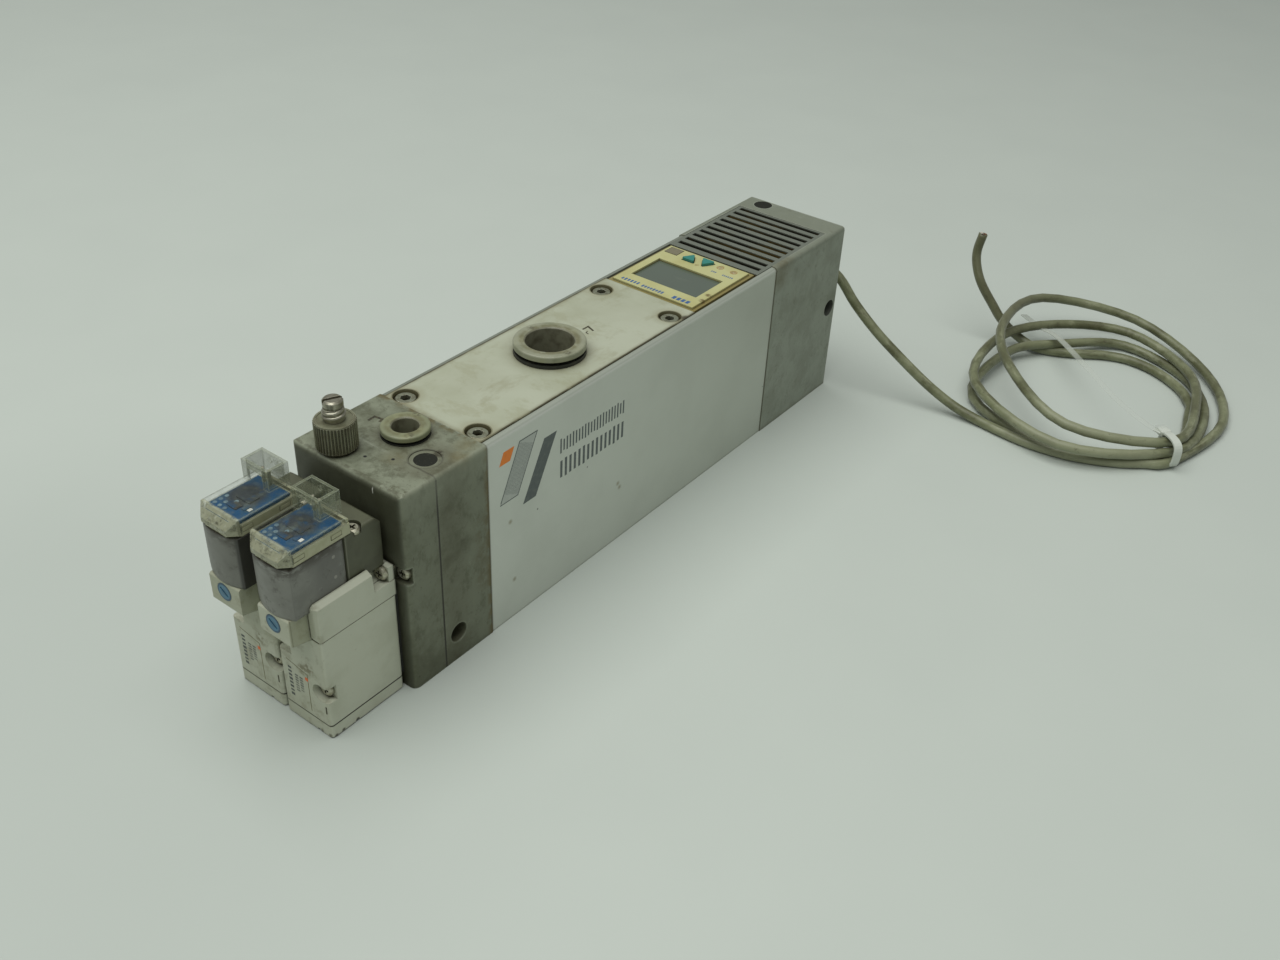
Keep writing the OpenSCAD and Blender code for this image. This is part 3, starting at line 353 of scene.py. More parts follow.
lead, lead_length = tube("lead", lead_path, lead_diameter / 2, 16)
sheath = Finish("lead_sheath", (118, 123, 92), rough=0.42, Sheen_Weight=0.1)
sheath.tint((84, 87, 56), 0.85, sheath.patches(15, 0.42, 0.62, detail=4, rough=0.6, seed=31))
along = sheath.node("ShaderNodeUVMap", uv_map="along").outputs[0]
streaks = sheath.node(
    "ShaderNodeVectorMath", {0: along, 1: (0.055, 2.4, 1)}, operation="MULTIPLY"
).outputs[0]
streaks = sheath.node(
    "ShaderNodeTexNoise", {"Vector": streaks, "Scale": 1, "Detail": 5, "Roughness": 0.65}
).outputs[0]
sheath.tint((70, 70, 42), 0.6, sheath.band(streaks, 0.5, 0.64))
sheath.tint((150, 154, 126), 0.5, sheath.band(streaks, 0.46, 0.36))
# Painted light: the stretch of lead lying on the bench beside the body is painted lighter.
lit_stretch = sheath.near([(114, 231, 3), (129, 236, 3), (143, 244, 3)], 8, 22)
sheath.tint((146, 150, 122), 0.6, lit_stretch)
far_end = sheath.near([(46, 311, 34)], 24, 60, (1, 1, 1))
sheath.tint((84, 84, 58), 0.7, far_end)
sheath.tint((58, 52, 32), 0.6, sheath.patches(2.6, 0.57, 0.7, detail=6, rough=0.75))
sheath.tint((140, 143, 114), 0.35, sheath.patches(5, 0.58, 0.74, detail=4, seed=4))
sheath.bump(sheath.noise(0.7), 0.05)
sheath.onto(lead)
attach(lead, "ejector")
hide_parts("cable_lead", "cable_coil", "cable_tail")

# Three cores show in the cut end, each with a speck of copper.
cut_end, cut_way = lead_path[-1], (lead_path[-1] - lead_path[-2]).normalized()
cut_side = cut_way.orthogonal().normalized()
core_colours = {"brown": (96, 62, 40), "white": (206, 206, 196), "black": (34, 34, 32)}
core_radius, core_offset = 0.7, 0.95
for turn, (colour_name, colour) in enumerate(core_colours.items()):
    middle = cut_end + Matrix.Rotation(turn * math.tau / 3, 3, cut_way) @ cut_side * core_offset * mm
    core_path = [middle + cut_way * reach * mm for reach in (-0.4, 0, 0.25)]
    core = tube("core_" + colour_name, core_path, core_radius * mm, 10)[0]
    insulation = Finish("core_" + colour_name, colour, rough=0.5)
    copper = insulation.near([(middle + cut_way * 0.3 * mm) / mm], 0.25, 0.4, (1, 1, 1))
    insulation.tint((150, 104, 66), 1.0, copper)
    insulation.onto(core)
    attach(core, "ejector")


# ------------------------------------------------------------------ cable tie
# Natural nylon tie, drawn round the four turns where the lead joins the coil. Its head sits on the inner
# side, and the long free end lies across the coil, clear enough to show the floor through it.
tie_angle = math.radians(-41)
tie_centre, tie_reach = 55.2, Vector((5.9, 5.6))
strap_width, strap_thickness, loop_points = 3.4, 1.0, 40


def ribbon(name, path, width, thickness, flats, closed=False):
    """Flat band along a path, in millimetres: flats are the directions its wide face looks along."""
    section = [(-1, -0.6), (-1, 0.6), (-0.9, 1), (0.9, 1), (1, 0.6), (1, -0.6), (0.9, -1), (-0.9, -1)]
    count = len(path)
    points = []
    for i, (point, flat) in enumerate(zip(path, flats)):
        before = i - 1 if closed else max(i - 1, 0)
        after = (i + 1) % count if closed else min(i + 1, count - 1)
        ahead = path[after] - path[before]
        flat = (flat - flat.project(ahead)).normalized()
        wide = ahead.cross(flat).normalized() * width / 2
        deep = flat * thickness / 2
        points += [(point + wide * x + deep * y) * mm for x, y in section]
    return outwards(of_faces(name, points, swept(count, len(section), closed)))


def outwards(piece):
    """Turns a closed mesh's faces outwards."""
    shape = bmesh.new()
    shape.from_mesh(piece.data)
    bmesh.ops.recalc_face_normals(shape, faces=shape.faces)
    shape.to_mesh(piece.data)
    shape.free()
    return piece


def of_shape(name, shape):
    """Object of an edited shape, which is used up."""
    mesh = bpy.data.meshes.new(name)
    shape.to_mesh(mesh)
    shape.free()
    return placed(name, mesh)


def block(name, low, high, rounding=0.2, steps=2):
    """Moulded block between two corners, in millimetres, with its edges rounded."""
    low, high = Vector(low), Vector(high)
    shape = bmesh.new()
    bmesh.ops.create_cube(shape, size=1)
    bmesh.ops.scale(shape, vec=high - low, verts=shape.verts)
    bmesh.ops.translate(shape, vec=(low + high) / 2, verts=shape.verts)
    bmesh.ops.bevel(
        shape, geom=shape.edges[:], offset=rounding, segments=steps, affect="EDGES", profile=0.5
    )
    bmesh.ops.scale(shape, vec=(mm, mm, mm), verts=shape.verts)
    return outwards(of_shape(name, shape))


def merged(name, parts):
    """Joins finished parts into one piece."""
    shape = bmesh.new()
    for part in parts:
        part.data.transform(part.matrix_world)
        shape.from_mesh(part.data)
        bpy.data.objects.remove(part)
    return of_shape(name, shape)


outward = Vector((math.cos(tie_angle), math.sin(tie_angle), 0))
tie_middle = Vector((coil_x, coil_y, 6.1)) + outward * tie_centre
loop, looks = [], []
for k in range(loop_points):
    turn = math.tau * k / loop_points
    c, s = math.cos(turn), math.sin(turn)
    squarish = (abs(c) ** 3 + abs(s) ** 3) ** (-1 / 3)
    loop.append(
        tie_middle + outward * tie_reach.x * c * squarish + Vector((0, 0, tie_reach.y * s * squarish))
    )
    looks.append(outward * c + Vector((0, 0, s)))
band = ribbon("tie_band", loop, strap_width, strap_thickness, looks, closed=True)
head = block("tie_head", (-2.8, -2.2, 0), (2.8, 2.2, 2.6), 0.5, 3)
head_at = tie_middle - outward * 6.6 + Vector((0, 0, 3.2))
head.matrix_world = Matrix.Translation(head_at * mm) @ Matrix.Rotation(tie_angle, 4, "Z")
tip = (67.4, 324, 8)
strap_route = [
    (152.3, 261.4, 10.6), (145, 262.3, 11.6), (130, 268.3, 14.2), (111.2, 284, 15), (89.6, 309, 10.5),
    (78.2, 317, 8.5), tip
]
strap_path = [p / mm for p in smooth(strap_route, 8)]
facing_up = [Vector((0.1, 0.1, 1))] * len(strap_path)
tail = ribbon("tie_tail", strap_path, strap_width, strap_thickness * 0.6, facing_up)
tie = merged("cable_tie_nylon", [band, head, tail])
nylon = Finish("nylon", (204, 210, 200), rough=0.35)
nylon.tint((190, 196, 184), 0.4, nylon.noise(9, detail=1))
at_band = nylon.near([tie_middle], 7.5, 11, (1, 1, 1))
at_tip = nylon.near([tip], 25, 75)
loose_part = nylon.math("ADD", nylon.math("MULTIPLY", at_tip, 0.4), 0.1)
solid_part = nylon.math("MAXIMUM", nylon.math("MULTIPLY", at_band, 0.95), loose_part)
nylon.links.new(solid_part, nylon.skin.inputs["Alpha"])
nylon.onto(tie)
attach(tie, "ejector")
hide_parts("cable_tie")


# ------------------------------------------------------------------ front plate and supply block
# Sand-cast aluminium plate and block, tumbled and left bare, bolted up as one. Years of oil have browned
# the seams and corners, whose darkening is partly painted shade; handling has brightened the rounded edges,
# with a painted highlight on them too; and the top has a few small pits. As painted light and shade, the
# top is painted lighter, the front face darker and the upper outer side lighter.
def box_of(node):
    """Low and high corners of a CAD node, in millimetres."""
    return [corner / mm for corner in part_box(node)]


def centre_of(node):
    """Middle of a CAD node's box, in millimetres."""
    return (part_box(node)[0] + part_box(node)[1]) / 2 / mm


front = box_of("adapter_plate")[0].y
block_low, block_high = box_of("supply_block")
half, joint_y, top = block_high
seam_y = block_low.y
supply_at, plug_at, needle_at = (
    centre_of(node) for node in ("supply_release_ring", "blank_plug", "lock_nut")
)


def cast(name, colour, shade, bright, grime_and_shade, upper):
    """Bare casting: blotchy grey with grime, corners darkened in the grime colour as painted shade, edges
    brightened by wear and by a painted highlight, a top painted in a tone of its own for the light, and a
    fine grain.
    """
    metal = Finish(name, colour, rough=0.52, metal=0.2)
    metal.soften(0.3)
    # Painted light: the top is painted in a tone of its own, as it is lit differently from the sides.
    metal.tint(upper, 0.85, metal.across("Z", top - 2.5, top - 0.3))
    metal.tint(shade, 0.75, metal.patches(16, 0.42, 0.66, detail=6, rough=0.65))
    metal.tint(shade, 0.6, metal.patches(4.5, 0.5, 0.66, detail=6, rough=0.7, stretch=(1, 1, 1.8), seed=6))
    metal.tint(bright, 0.4, metal.patches(6, 0.56, 0.78, detail=6, rough=0.7, seed=3))
    metal.tint(grime_and_shade, 0.5, metal.patches(1.1, 0.58, 0.7, detail=6, rough=0.75, seed=1))
    metal.tint(grime_and_shade, 0.45, metal.patches(5, 0.54, 0.72, detail=8, rough=0.8, seed=23))
    # Wear and a painted highlight: the rounded edges are brightened.
    metal.tint(bright, 0.9, metal.edges(1.1), metal.patches(3, 0.2, 0.55, seed=2))
    # Painted shade: corners and gaps are darkened in the grime colour.
    metal.tint(grime_and_shade, 0.7, metal.corners(3))
    metal.bump(metal.noise(0.5, detail=3), 0.03)
    metal.bump(metal.noise(6, detail=2), 0.08)
    return metal


casting = cast("cast_front", (112, 117, 98), (78, 81, 60), (148, 154, 136), (46, 42, 24), (130, 136, 116))
# Painted shade: the plate's front face, which faces the valves, is painted darker.
front_face = casting.across("Y", front + 0.8, front + 0.1)
casting.tint((56, 57, 42), 0.75, front_face)
seam = casting.line("Y", seam_y, 0.55)
right_part = casting.across("X", 8, 16)
below_top = casting.across("Z", top - 0.3, top - 1.2)
shown = casting.math("MAXIMUM", below_top, casting.math("MULTIPLY", right_part, 0.55))
casting.tint((28, 25, 15), 0.95, seam, shown)
joint = casting.both(casting.line("Y", joint_y, 0.8), below_top)
casting.tint((60, 52, 28), 0.85, joint)
oil = casting.both(casting.near([supply_at, plug_at], 6, 12.5), casting.noise(4, seed=5))
casting.tint((70, 64, 40), 0.85, oil)
stain = casting.near([(6.5, -6.5, top)], 1, 5.5)
casting.tint((104, 100, 70), 0.8, stain, casting.noise(1.5, seed=4))
rub = casting.across("Y", joint_y - 2.6, joint_y - 0.2)
patch = casting.both(rub, casting.patches(3.5, 0.36, 0.58, detail=5, seed=7))
casting.tint((94, 84, 48), 0.85, patch)
shoulder = casting.near([(half - 5, joint_y - 4, top), (half - 2, joint_y - 9, top)], 1, 5, (1, 1, 1))
casting.tint((112, 102, 62), 0.7, shoulder, casting.noise(2, seed=8))
pits = [(0.1, -11.4, top), (7.1, -7.3, top)]
casting.tint((12, 12, 10), 1.0, casting.near(pits, 0.3, 0.75))
around_plug = casting.math("SUBTRACT", 1.0, casting.near([plug_at], 4.4, 4.9))
ring_mark = casting.both(casting.near([plug_at], 5.0, 5.5), around_plug)
casting.tint((60, 58, 44), 0.45, ring_mark)
wander = casting.math("MULTIPLY", casting.patches(5, 0.2, 0.8, detail=3, seed=13), 0.7)
edge_y = casting.math("ADD", wander, front + 1.1)
off_edge = casting.math("ABSOLUTE", casting.math("SUBTRACT", casting.axis("Y"), edge_y))
front_edge = casting.both(casting.band(off_edge, 0.75, 0.15), casting.across("Z", top - 1.2, top - 0.3))
crusted = casting.both(front_edge, casting.patches(2.6, 0.36, 0.52, detail=5, seed=9))
casting.tint((60, 60, 36), 0.55, crusted)
crust_at = [(14, front + 2, top), (17.5, front + 2.4, top), (20.5, front + 2.2, top)]
corner_crust = casting.near(crust_at, 0.6, 2.4)
casting.tint((66, 64, 36), 0.7, corner_crust, casting.patches(1.1, 0.46, 0.6, detail=6, rough=0.7, seed=15))
by_plug = casting.near([(plug_at[0] + 0.9, plug_at[1] + 4.4, top)], 0.8, 2.2)
casting.tint((48, 44, 28), 0.85, by_plug, casting.patches(1.2, 0.36, 0.54, detail=4, seed=17))
scratch = casting.both(casting.line("X", 11.4, 0.26), casting.line("Z", top - 2.3, 1.3))
casting.tint((226, 228, 218), 0.9, scratch, front_face)
# Painted light: the upper part of the outer side face is painted lighter.
side_top = casting.across("Z", top - 13, top - 1.5)
outer_face = casting.across("X", half - 1.5, half - 0.3)
casting.tint((142, 147, 128), 0.4, side_top, outer_face)
low_stain = casting.near([(half, joint_y - 1.5, z) for z in (26, 34, 43)], 1.5, 8, (1, 1, 1))
casting.tint((84, 78, 50), 0.6, low_stain, casting.patches(4, 0.35, 0.6, detail=5, seed=19))
casting.onto("adapter_plate", "supply_block")


# ------------------------------------------------------------------ cut marks on the top
# Two small signs of bent strokes, engraved beside the ports and filled with dirt. The fill stands a few
# hundredths of a millimetre over the face.
fill_height = 0.03


def plate_of(name, outline, height, thickness, place):
    """Flat plate of an outline in millimetres, moved into place by a matrix."""
    shape = bmesh.new()
    low = [shape.verts.new((x, y, height)) for x, y in outline]
    high = [shape.verts.new((x, y, height + thickness)) for x, y in outline]
    shape.faces.new(low[::-1])
    shape.faces.new(high)
    for i in range(len(outline)):
        n = (i + 1) % len(outline)
        shape.faces.new((low[i], low[n], high[n], high[i]))
    bmesh.ops.transform(shape, matrix=Matrix.Diagonal((mm, mm, mm, 1)) @ place, verts=shape.verts)
    return outwards(of_shape(name, shape))


def stroke(points, width):
    """Outline of a bent line of one width, with mitred corners."""
    points = [Vector(p) for p in points]
    left, right = [], []
    for i, point in enumerate(points):
        before = (point - points[i - 1]).normalized() if i else None
        after = (points[i + 1] - point).normalized() if i < len(points) - 1 else None
        before, after = before or after, after or before
        normal = Vector((-(before + after).y, (before + after).x)).normalized()
        reach = width / 2 / max(0.3, normal.dot(Vector((-after.y, after.x))))
        left.append(tuple(point + normal * reach))
        right.append(tuple(point - normal * reach))
    return left + right[::-1]


upright = Matrix.Identity(4)
signs = [
    ([(-13.2, 2.2), (-13.4, 4.9), (-10.4, 5.4), (-10.2, 3.8)], 0.85),
    ([(-1.4, 87.6), (-1.3, 90.4), (1.9, 89.2)], 0.7),
    ([(0.6, 87.8), (0.9, 86.6), (2.1, 86.4)], 0.32),
]
cuts = [plate_of("cut", stroke(points, width), top, fill_height, upright) for points, width in signs]
engraving = merged("cut_marks", cuts)
dirt_fill = Finish("dirt_fill", (40, 37, 22), rough=0.7)
dirt_fill.tint((92, 88, 62), 0.5, dirt_fill.patches(0.9, 0.4, 0.6, detail=4))
dirt_fill.onto(engraving)
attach(engraving, "ejector")


# ------------------------------------------------------------------ body channel
# Extruded aluminium channel with a satin anodised skin. Fine draw lines run along it, and it carries
# scattered nicks and stains. Light and shade are painted on: the side face much lighter than the top and
# less so towards the exhaust end, the right half lighter, the left wall's top darker and the inner corners
# darker.
channel_low, channel_high = box_of("body_channel")
skin = Finish("anodised_channel", (150, 157, 145), rough=0.42, metal=0.35)
skin.soften(0.4)
# Painted light: the side face is painted much lighter than the top, less so towards the exhaust end.
toward_rear = skin.across("Y", channel_low.y - 10, channel_high.y)
side_face = skin.across("X", channel_high.x - 0.6, channel_high.x - 0.1)
skin.tint((221, 225, 217), 0.85, side_face)
skin.tint((189, 195, 183), 0.85, toward_rear, side_face)
# Painted shade on the left wall's top, and painted light over the right half.
top_strip = skin.across("Z", channel_high.z - 0.5, channel_high.z - 0.1)
skin.tint((116, 122, 109), 0.85, top_strip, skin.across("X", 0, -10))
skin.tint((172, 178, 165), 0.3, skin.across("X", 0, 10))
skin.tint((140, 145, 132), 0.12, skin.patches(26, 0.4, 0.7, detail=4))
skin.tint((186, 192, 180), 0.2, skin.noise(0.8, detail=2, stretch=(1, 90, 1)))
# Painted shade in the inner corners.
skin.tint((90, 90, 68), 0.8, skin.corners(1.4))
nicks = skin.node(
    "ShaderNodeTexVoronoi", {"Vector": skin.place, "Scale": 0.05}, feature="F1"
).outputs["Distance"]
skin.tint((84, 86, 78), 0.85, skin.band(nicks, 0.03, 0.016))
skin.tint((70, 64, 34), 0.85, skin.across("Y", channel_low.y + 0.9, channel_low.y + 0.1))
skin.tint((120, 122, 104), 0.5, skin.across("Y", channel_high.y - 0.5, channel_high.y - 0.1))
stains = [(channel_high.x, y, z) for y, z in ((79, 24), (80, 22), (24.6, 38.6), (26, 15))]
skin.tint((124, 112, 74), 0.6, skin.near(stains, 0.2, 1.3, (1, 1, 1)))
skin.bump(skin.noise(0.5, detail=2, stretch=(1, 80, 1)), 0.01)
skin.onto("body_channel")


# ------------------------------------------------------------------ printed signs on the channel
# Screen-printed sign on the side face: an orange square, a hatched bar and a dark bar, all slanted, and
# two rows of plain strokes. The ink lies a few hundredths of a millimetre thick.
def marks_tree():
    """Node tree for rows of small flat marks: their count, pitch, size, spread and seed are inputs."""
    tree = bpy.data.node_groups.new("rows_of_marks", "GeometryNodeTree")
    kinds = {
        "Columns": "Int", "Rows": "Int", "Pitch X": "Float", "Pitch Y": "Float", "Size": "Vector",
        "Shortest": "Float", "Kept": "Float", "Round": "Bool", "Seed": "Int", "Finish": "Material",
    }
    for key, kind in kinds.items():
        tree.interface.new_socket(key, in_out="INPUT", socket_type="NodeSocket" + kind)
    tree.interface.new_socket("Geometry", in_out="OUTPUT", socket_type="NodeSocketGeometry")

    def node(kind, inputs, **settings):
        made = tree.nodes.new(kind)
        for key, value in settings.items():
            setattr(made, key, value)
        for key, value in inputs.items():
            if isinstance(value, bpy.types.NodeSocket):
                tree.links.new(value, made.inputs[key])
            else:
                made.inputs[key].default_value = value
        return made.outputs

    given = tree.nodes.new("NodeGroupInput").outputs
    spans = []
    for count, pitch in (("Columns", "Pitch X"), ("Rows", "Pitch Y")):
        gaps = node("ShaderNodeMath", {0: given[count], 1: 1.0}, operation="SUBTRACT")[0]
        spans.append(node("ShaderNodeMath", {0: gaps, 1: given[pitch]}, operation="MULTIPLY")[0])
    counts = {"Vertices X": given["Columns"], "Vertices Y": given["Rows"]}
    places = node("GeometryNodeMeshGrid", {"Size X": spans[0], "Size Y": spans[1], **counts})[0]
    bar = node("GeometryNodeMeshCube", {"Size": given["Size"]})[0]
    size = node("ShaderNodeSeparateXYZ", {0: given["Size"]})
    radius = node("ShaderNodeMath", {0: size[0], 1: 0.5}, operation="MULTIPLY")[0]
    dot = node("GeometryNodeMeshCylinder", {"Vertices": 12, "Radius": radius, "Depth": size[2]})[0]
    mark = node(
        "GeometryNodeSwitch", {"Switch": given["Round"], "False": bar, "True": dot}, input_type="GEOMETRY"
    )[0]
    shortest = node("ShaderNodeCombineXYZ", {0: 1.0, 1: given["Shortest"], 2: 1.0})[0]
    lengths = {0: shortest, 1: (1.0, 1.0, 1.0), "Seed": given["Seed"]}
    scale = node("FunctionNodeRandomValue", lengths, data_type="FLOAT_VECTOR")[0]
    chances = {"Probability": given["Kept"], "Seed": given["Seed"]}
    kept = node("FunctionNodeRandomValue", chances, data_type="BOOLEAN")[3]
    layout = {"Points": places, "Instance": mark, "Scale": scale, "Selection": kept}
    set_out = node("GeometryNodeInstanceOnPoints", layout)[0]
    solid = node("GeometryNodeRealizeInstances", {"Geometry": set_out})[0]
    done = node("GeometryNodeSetMaterial", {"Geometry": solid, "Material": given["Finish"]})[0]
    node("NodeGroupOutput", {"Geometry": done})
    return tree


rows_of_marks = marks_tree()


def marks(name, middle, right, up, finish, **inputs):
    """Rows of marks on a flat face: middle is their centre in millimetres, right and up the face's axes."""
    empty = placed(name, bpy.data.meshes.new(name))
    rows = empty.modifiers.new("rows", "NODES")
    rows.node_group = rows_of_marks
    values = {"Columns": 1, "Rows": 1, "Pitch X": 1.0, "Pitch Y": 1.0, "Round": False}
    values |= {"Shortest": 1.0, "Kept": 1.0, "Seed": 1, "Finish": finish.material}
    values |= {key.replace("_", " "): value for key, value in inputs.items()}
    for socket in rows_of_marks.interface.items_tree:
        if socket.in_out == "INPUT":
            rows[socket.identifier] = values[socket.name]
    bpy.context.view_layer.update()
    mesh = bpy.data.meshes.new_from_object(empty.evaluated_get(bpy.context.evaluated_depsgraph_get()))
    bpy.data.objects.remove(empty)
    right, up = Vector(right).normalized(), Vector(up).normalized()
    turn = Matrix((right, up, right.cross(up))).transposed().to_4x4()
    mesh.transform(Matrix.Diagonal((mm, mm, mm, 1)) @ Matrix.Translation(middle) @ turn)
    return placed(name, mesh)


def ink(name, colour, worn):
    """Flat printing ink, a little worn."""
    print_ink = Finish(name, colour, rough=0.55)
    print_ink.tint(worn, 0.45, print_ink.patches(1.6, 0.45, 0.7, detail=4))
    return print_ink


side_x = channel_high.x
onto_side = Matrix.Translation((side_x, 0, 0)) @ Matrix(((0, 0, 1), (1, 0, 0), (0, 1, 0))).to_4x4()
graphite = ink("graphite_ink", (82, 90, 88), (104, 112, 106))
orange = ink("orange_ink", (226, 126, 34), (206, 120, 46))
grey_hatch = ink("grey_hatch", (172, 178, 170), (182, 188, 178))
hatched = [(20.2, 47.0), (28.2, 47.0), (37.4, 66.0), (29.4, 66.0)]
slants = {
    "graphite_bar": (graphite, [(30.5, 42.0), (36.5, 42.0), (46.6, 61.5), (40.6, 61.5)]),
    "orange_bar": (orange, [(20.2, 61.3), (25.0, 61.3), (27.0, 65.6), (22.2, 65.6)]),
    "hatched_bar": (grey_hatch, hatched),
}
ink_thickness = 0.02
for name, (finish, outline) in slants.items():
    finish.onto(plate_of(name, outline, 0, ink_thickness, onto_side))
rim = plate_of("slant_rim", stroke(hatched + [(20.5, 47.6)], 0.34), ink_thickness, 0.01, onto_side)
graphite.onto(rim)
slant_across, slant_along = (0, 0.9, -0.436), (0, 0.436, 0.9)
marks(
    "slant_hatching", (side_x + ink_thickness + 0.005, 28.8, 56.5), slant_across, slant_along, graphite,
    Columns=11, Pitch_X=0.6, Size=(0.13, 17, 0.01),
)
row_across, row_up = (0, 1, -0.012), (0, 0.012, 1)
marks(
    "upper_strokes", (side_x, 64.6, 54.4), row_across, row_up, graphite,
    Columns=22, Pitch_X=1.52, Size=(0.72, 5.6, 0.03), Shortest=0.72, Seed=4,
)
marks(
    "lower_strokes", (side_x, 64.6, 45.6), row_across, row_up, graphite,
    Columns=15, Pitch_X=2.25, Size=(1.1, 7.0, 0.03), Shortest=0.8, Seed=7,
)
for name in (*slants, "slant_rim", "slant_hatching", "upper_strokes", "lower_strokes"):
    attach(bpy.data.objects[name], "ejector")


# ------------------------------------------------------------------ top cover
# Aluminium plate painted cream, set flush between the channel's walls. Brown oil has crept out of the
# seams, the port and the four counterbores.
cover_low, cover_high = box_of("top_cover")
vacuum_at = centre_of("vacuum_release_ring")
screw_x, first_inset, last_inset = 15, 4.1, 8.2
screw_places = [
    (x, y, top) for x in (-screw_x, screw_x) for y in (cover_low.y + first_inset, cover_high.y - last_inset)
]
cream = Finish("cream_paint", (167, 172, 151), rough=0.42, Coat_Weight=0.1)
cream.soften(0.3)
cream.tint((148, 151, 126), 0.55, cream.patches(24, 0.4, 0.68, detail=5))
cream.tint((178, 183, 165), 0.4, cream.patches(35, 0.45, 0.65, detail=2, seed=4))
off_centre = cream.math("ABSOLUTE", cream.axis("X"))
seam = cream.band(off_centre, cover_high.x - 1.8, cover_high.x - 0.1)
cream.tint((92, 86, 52), 1.0, seam, cream.noise(3, seed=1))
cream.tint((56, 50, 26), 0.9, cream.band(off_centre, cover_high.x - 0.7, cover_high.x - 0.3))
cream.tint((84, 78, 48), 0.8, cream.near(screw_places, 4.2, 4.6))
cream.tint((140, 138, 110), 0.35, cream.near(screw_places, 4.6, 7.5))
halo = cream.both(cream.near([vacuum_at], 11.5, 18), cream.noise(5, detail=5, seed=2))
cream.tint((110, 104, 72), 0.6, halo)
# Painted shade: the inner corners are darkened in a brown.
cream.tint((96, 88, 52), 0.65, cream.corners(2.5))
smear = cream.patches(9, 0.54, 0.7, detail=6, rough=0.7, stretch=(1, 2.5, 1), seed=9)
cream.tint((132, 129, 98), 0.42, smear)
wipe = cream.patches(16, 0.52, 0.64, detail=6, rough=0.75, stretch=(1.6, 1, 1), seed=12)
cream.tint((142, 142, 112), 0.4, wipe)
corner_oil = cream.near([(cover_high.x, cover_high.y - 5.5, top)], 0.8, 2.6)
cream.tint((52, 46, 26), 0.9, corner_oil)
front_oil = cream.across("Y", cover_low.y + 2.2, cover_low.y + 0.1)
cream.tint((104, 98, 68), 1.0, front_oil, cream.noise(2.5, seed=3))
cream.bump(cream.noise(0.9, detail=2), 0.01)
cream.onto("top_cover")


# ------------------------------------------------------------------ cap screws and tie bolts
# Zinc-plated M4 cap screws in the cover's four counterbores, with dirt packed in their sockets, painted
# shade round them and a painted highlight on their edges, and the long bolts of the same make that clamp
# the stages together inside the channel, with painted shade in their corners.
plated = Finish("plated_screws", (140, 144, 124), rough=0.38, metal=0.6)
plated.soften(0.25)
# Painted shade round the heads and in the sockets, in a dirt colour.
plated.tint((74, 70, 46), 0.8, plated.corners(1.6))
plated.tint((98, 92, 68), 0.6, plated.patches(1.4, 0.42, 0.66, detail=5))
# Painted highlight on the edges of the heads.
plated.tint((206, 204, 188), 0.6, plated.edges(0.3))
plated.tint((40, 32, 14), 0.85, plated.across("Z", top - 1.6, top - 2.4))
plated.onto("cover_screws")
bolts = Finish("plated_bolts", (142, 140, 124), rough=0.38, metal=0.7)
# Painted shade in the corners.
bolts.tint((66, 60, 42), 0.9, bolts.corners(2))
bolts.tint((104, 98, 74), 0.6, bolts.patches(1.4, 0.42, 0.66, detail=5))
bolts.onto("tie_bolts")


# ------------------------------------------------------------------ rear cover
# Sand-cast end cover with the same bare finish, a shade lighter than the front. Oil from the channel's
# joint has stained its near top corner, and a mounting hole goes through it from side to side, its walls
# painted near black as painted shade.
rear_casting = cast(
    "cast_rear", (144, 151, 137), (126, 132, 117), (156, 162, 148), (80, 76, 56), (118, 124, 108)
)
hole_inset, hole_height, hole_radius = 4.6, 37.7, 3.4
rear_casting.tint((92, 90, 70), 0.4, rear_casting.across("Y", channel_high.y + 0.7, channel_high.y + 0.2))
hole_at = (0, box_of("rear_cover")[1].y - hole_inset, hole_height)
# Painted shade: the walls of the mounting hole are painted near black.
in_hole = rear_casting.near([hole_at], hole_radius - 0.1, hole_radius + 0.2, (0, 1, 1))
rear_casting.tint((14, 15, 12), 0.9, in_hole)
oil_at = [(half, channel_high.y + 6, top), (half, channel_high.y + 3, top - 4)]
rear_oil = rear_casting.near(oil_at, 1, 9, (1, 1, 1))
rear_casting.tint((92, 84, 54), 0.9, rear_oil, rear_casting.noise(2.5, seed=5))
rear_casting.onto("rear_cover")


# ------------------------------------------------------------------ exhaust grille and silencer
# Painted plate with ten slots, dropped between the rear cover's walls and flush with its top. The
# needled felt of the silencer lies under it and shows brown in some of the slots. The slot walls and
# corners are painted dark as shade, and the bar edges lighter as a painted highlight.
grille_top = box_of("grille")[1].z
bars = Finish("grille_paint", (109, 115, 104), rough=0.48, metal=0.2)
bars.soften(0.3)
bars.tint((102, 107, 95), 0.5, bars.patches(8, 0.4, 0.7, detail=4))
# Painted highlight on the bar edges.
bars.tint((126, 132, 120), 0.4, bars.edges(0.35))
# Painted shade: the slot walls below the top are painted near black, with brown dirt over some of them.
slot_wall = bars.across("Z", grille_top - 0.2, grille_top - 0.7)
bars.tint((30, 26, 13), 0.95, slot_wall)
fluff = bars.patches(5, 0.5, 0.6, detail=4, stretch=(5, 1, 1), seed=6)
bars.tint((104, 86, 38), 0.75, slot_wall, fluff)
# Painted shade in the corners.
bars.tint((60, 56, 38), 0.5, bars.corners(0.8))
bars.bump(bars.noise(0.6), 0.02)
bars.onto("grille")
felt = Finish("silencer_felt", (112, 92, 40), rough=0.95, Sheen_Weight=0.2)
felt.tint((26, 23, 14), 0.95, felt.patches(12, 0.38, 0.54, detail=4, stretch=(3, 1, 1)))
felt.bump(felt.noise(0.5, detail=5), 0.3)
felt.onto("silencer_element")


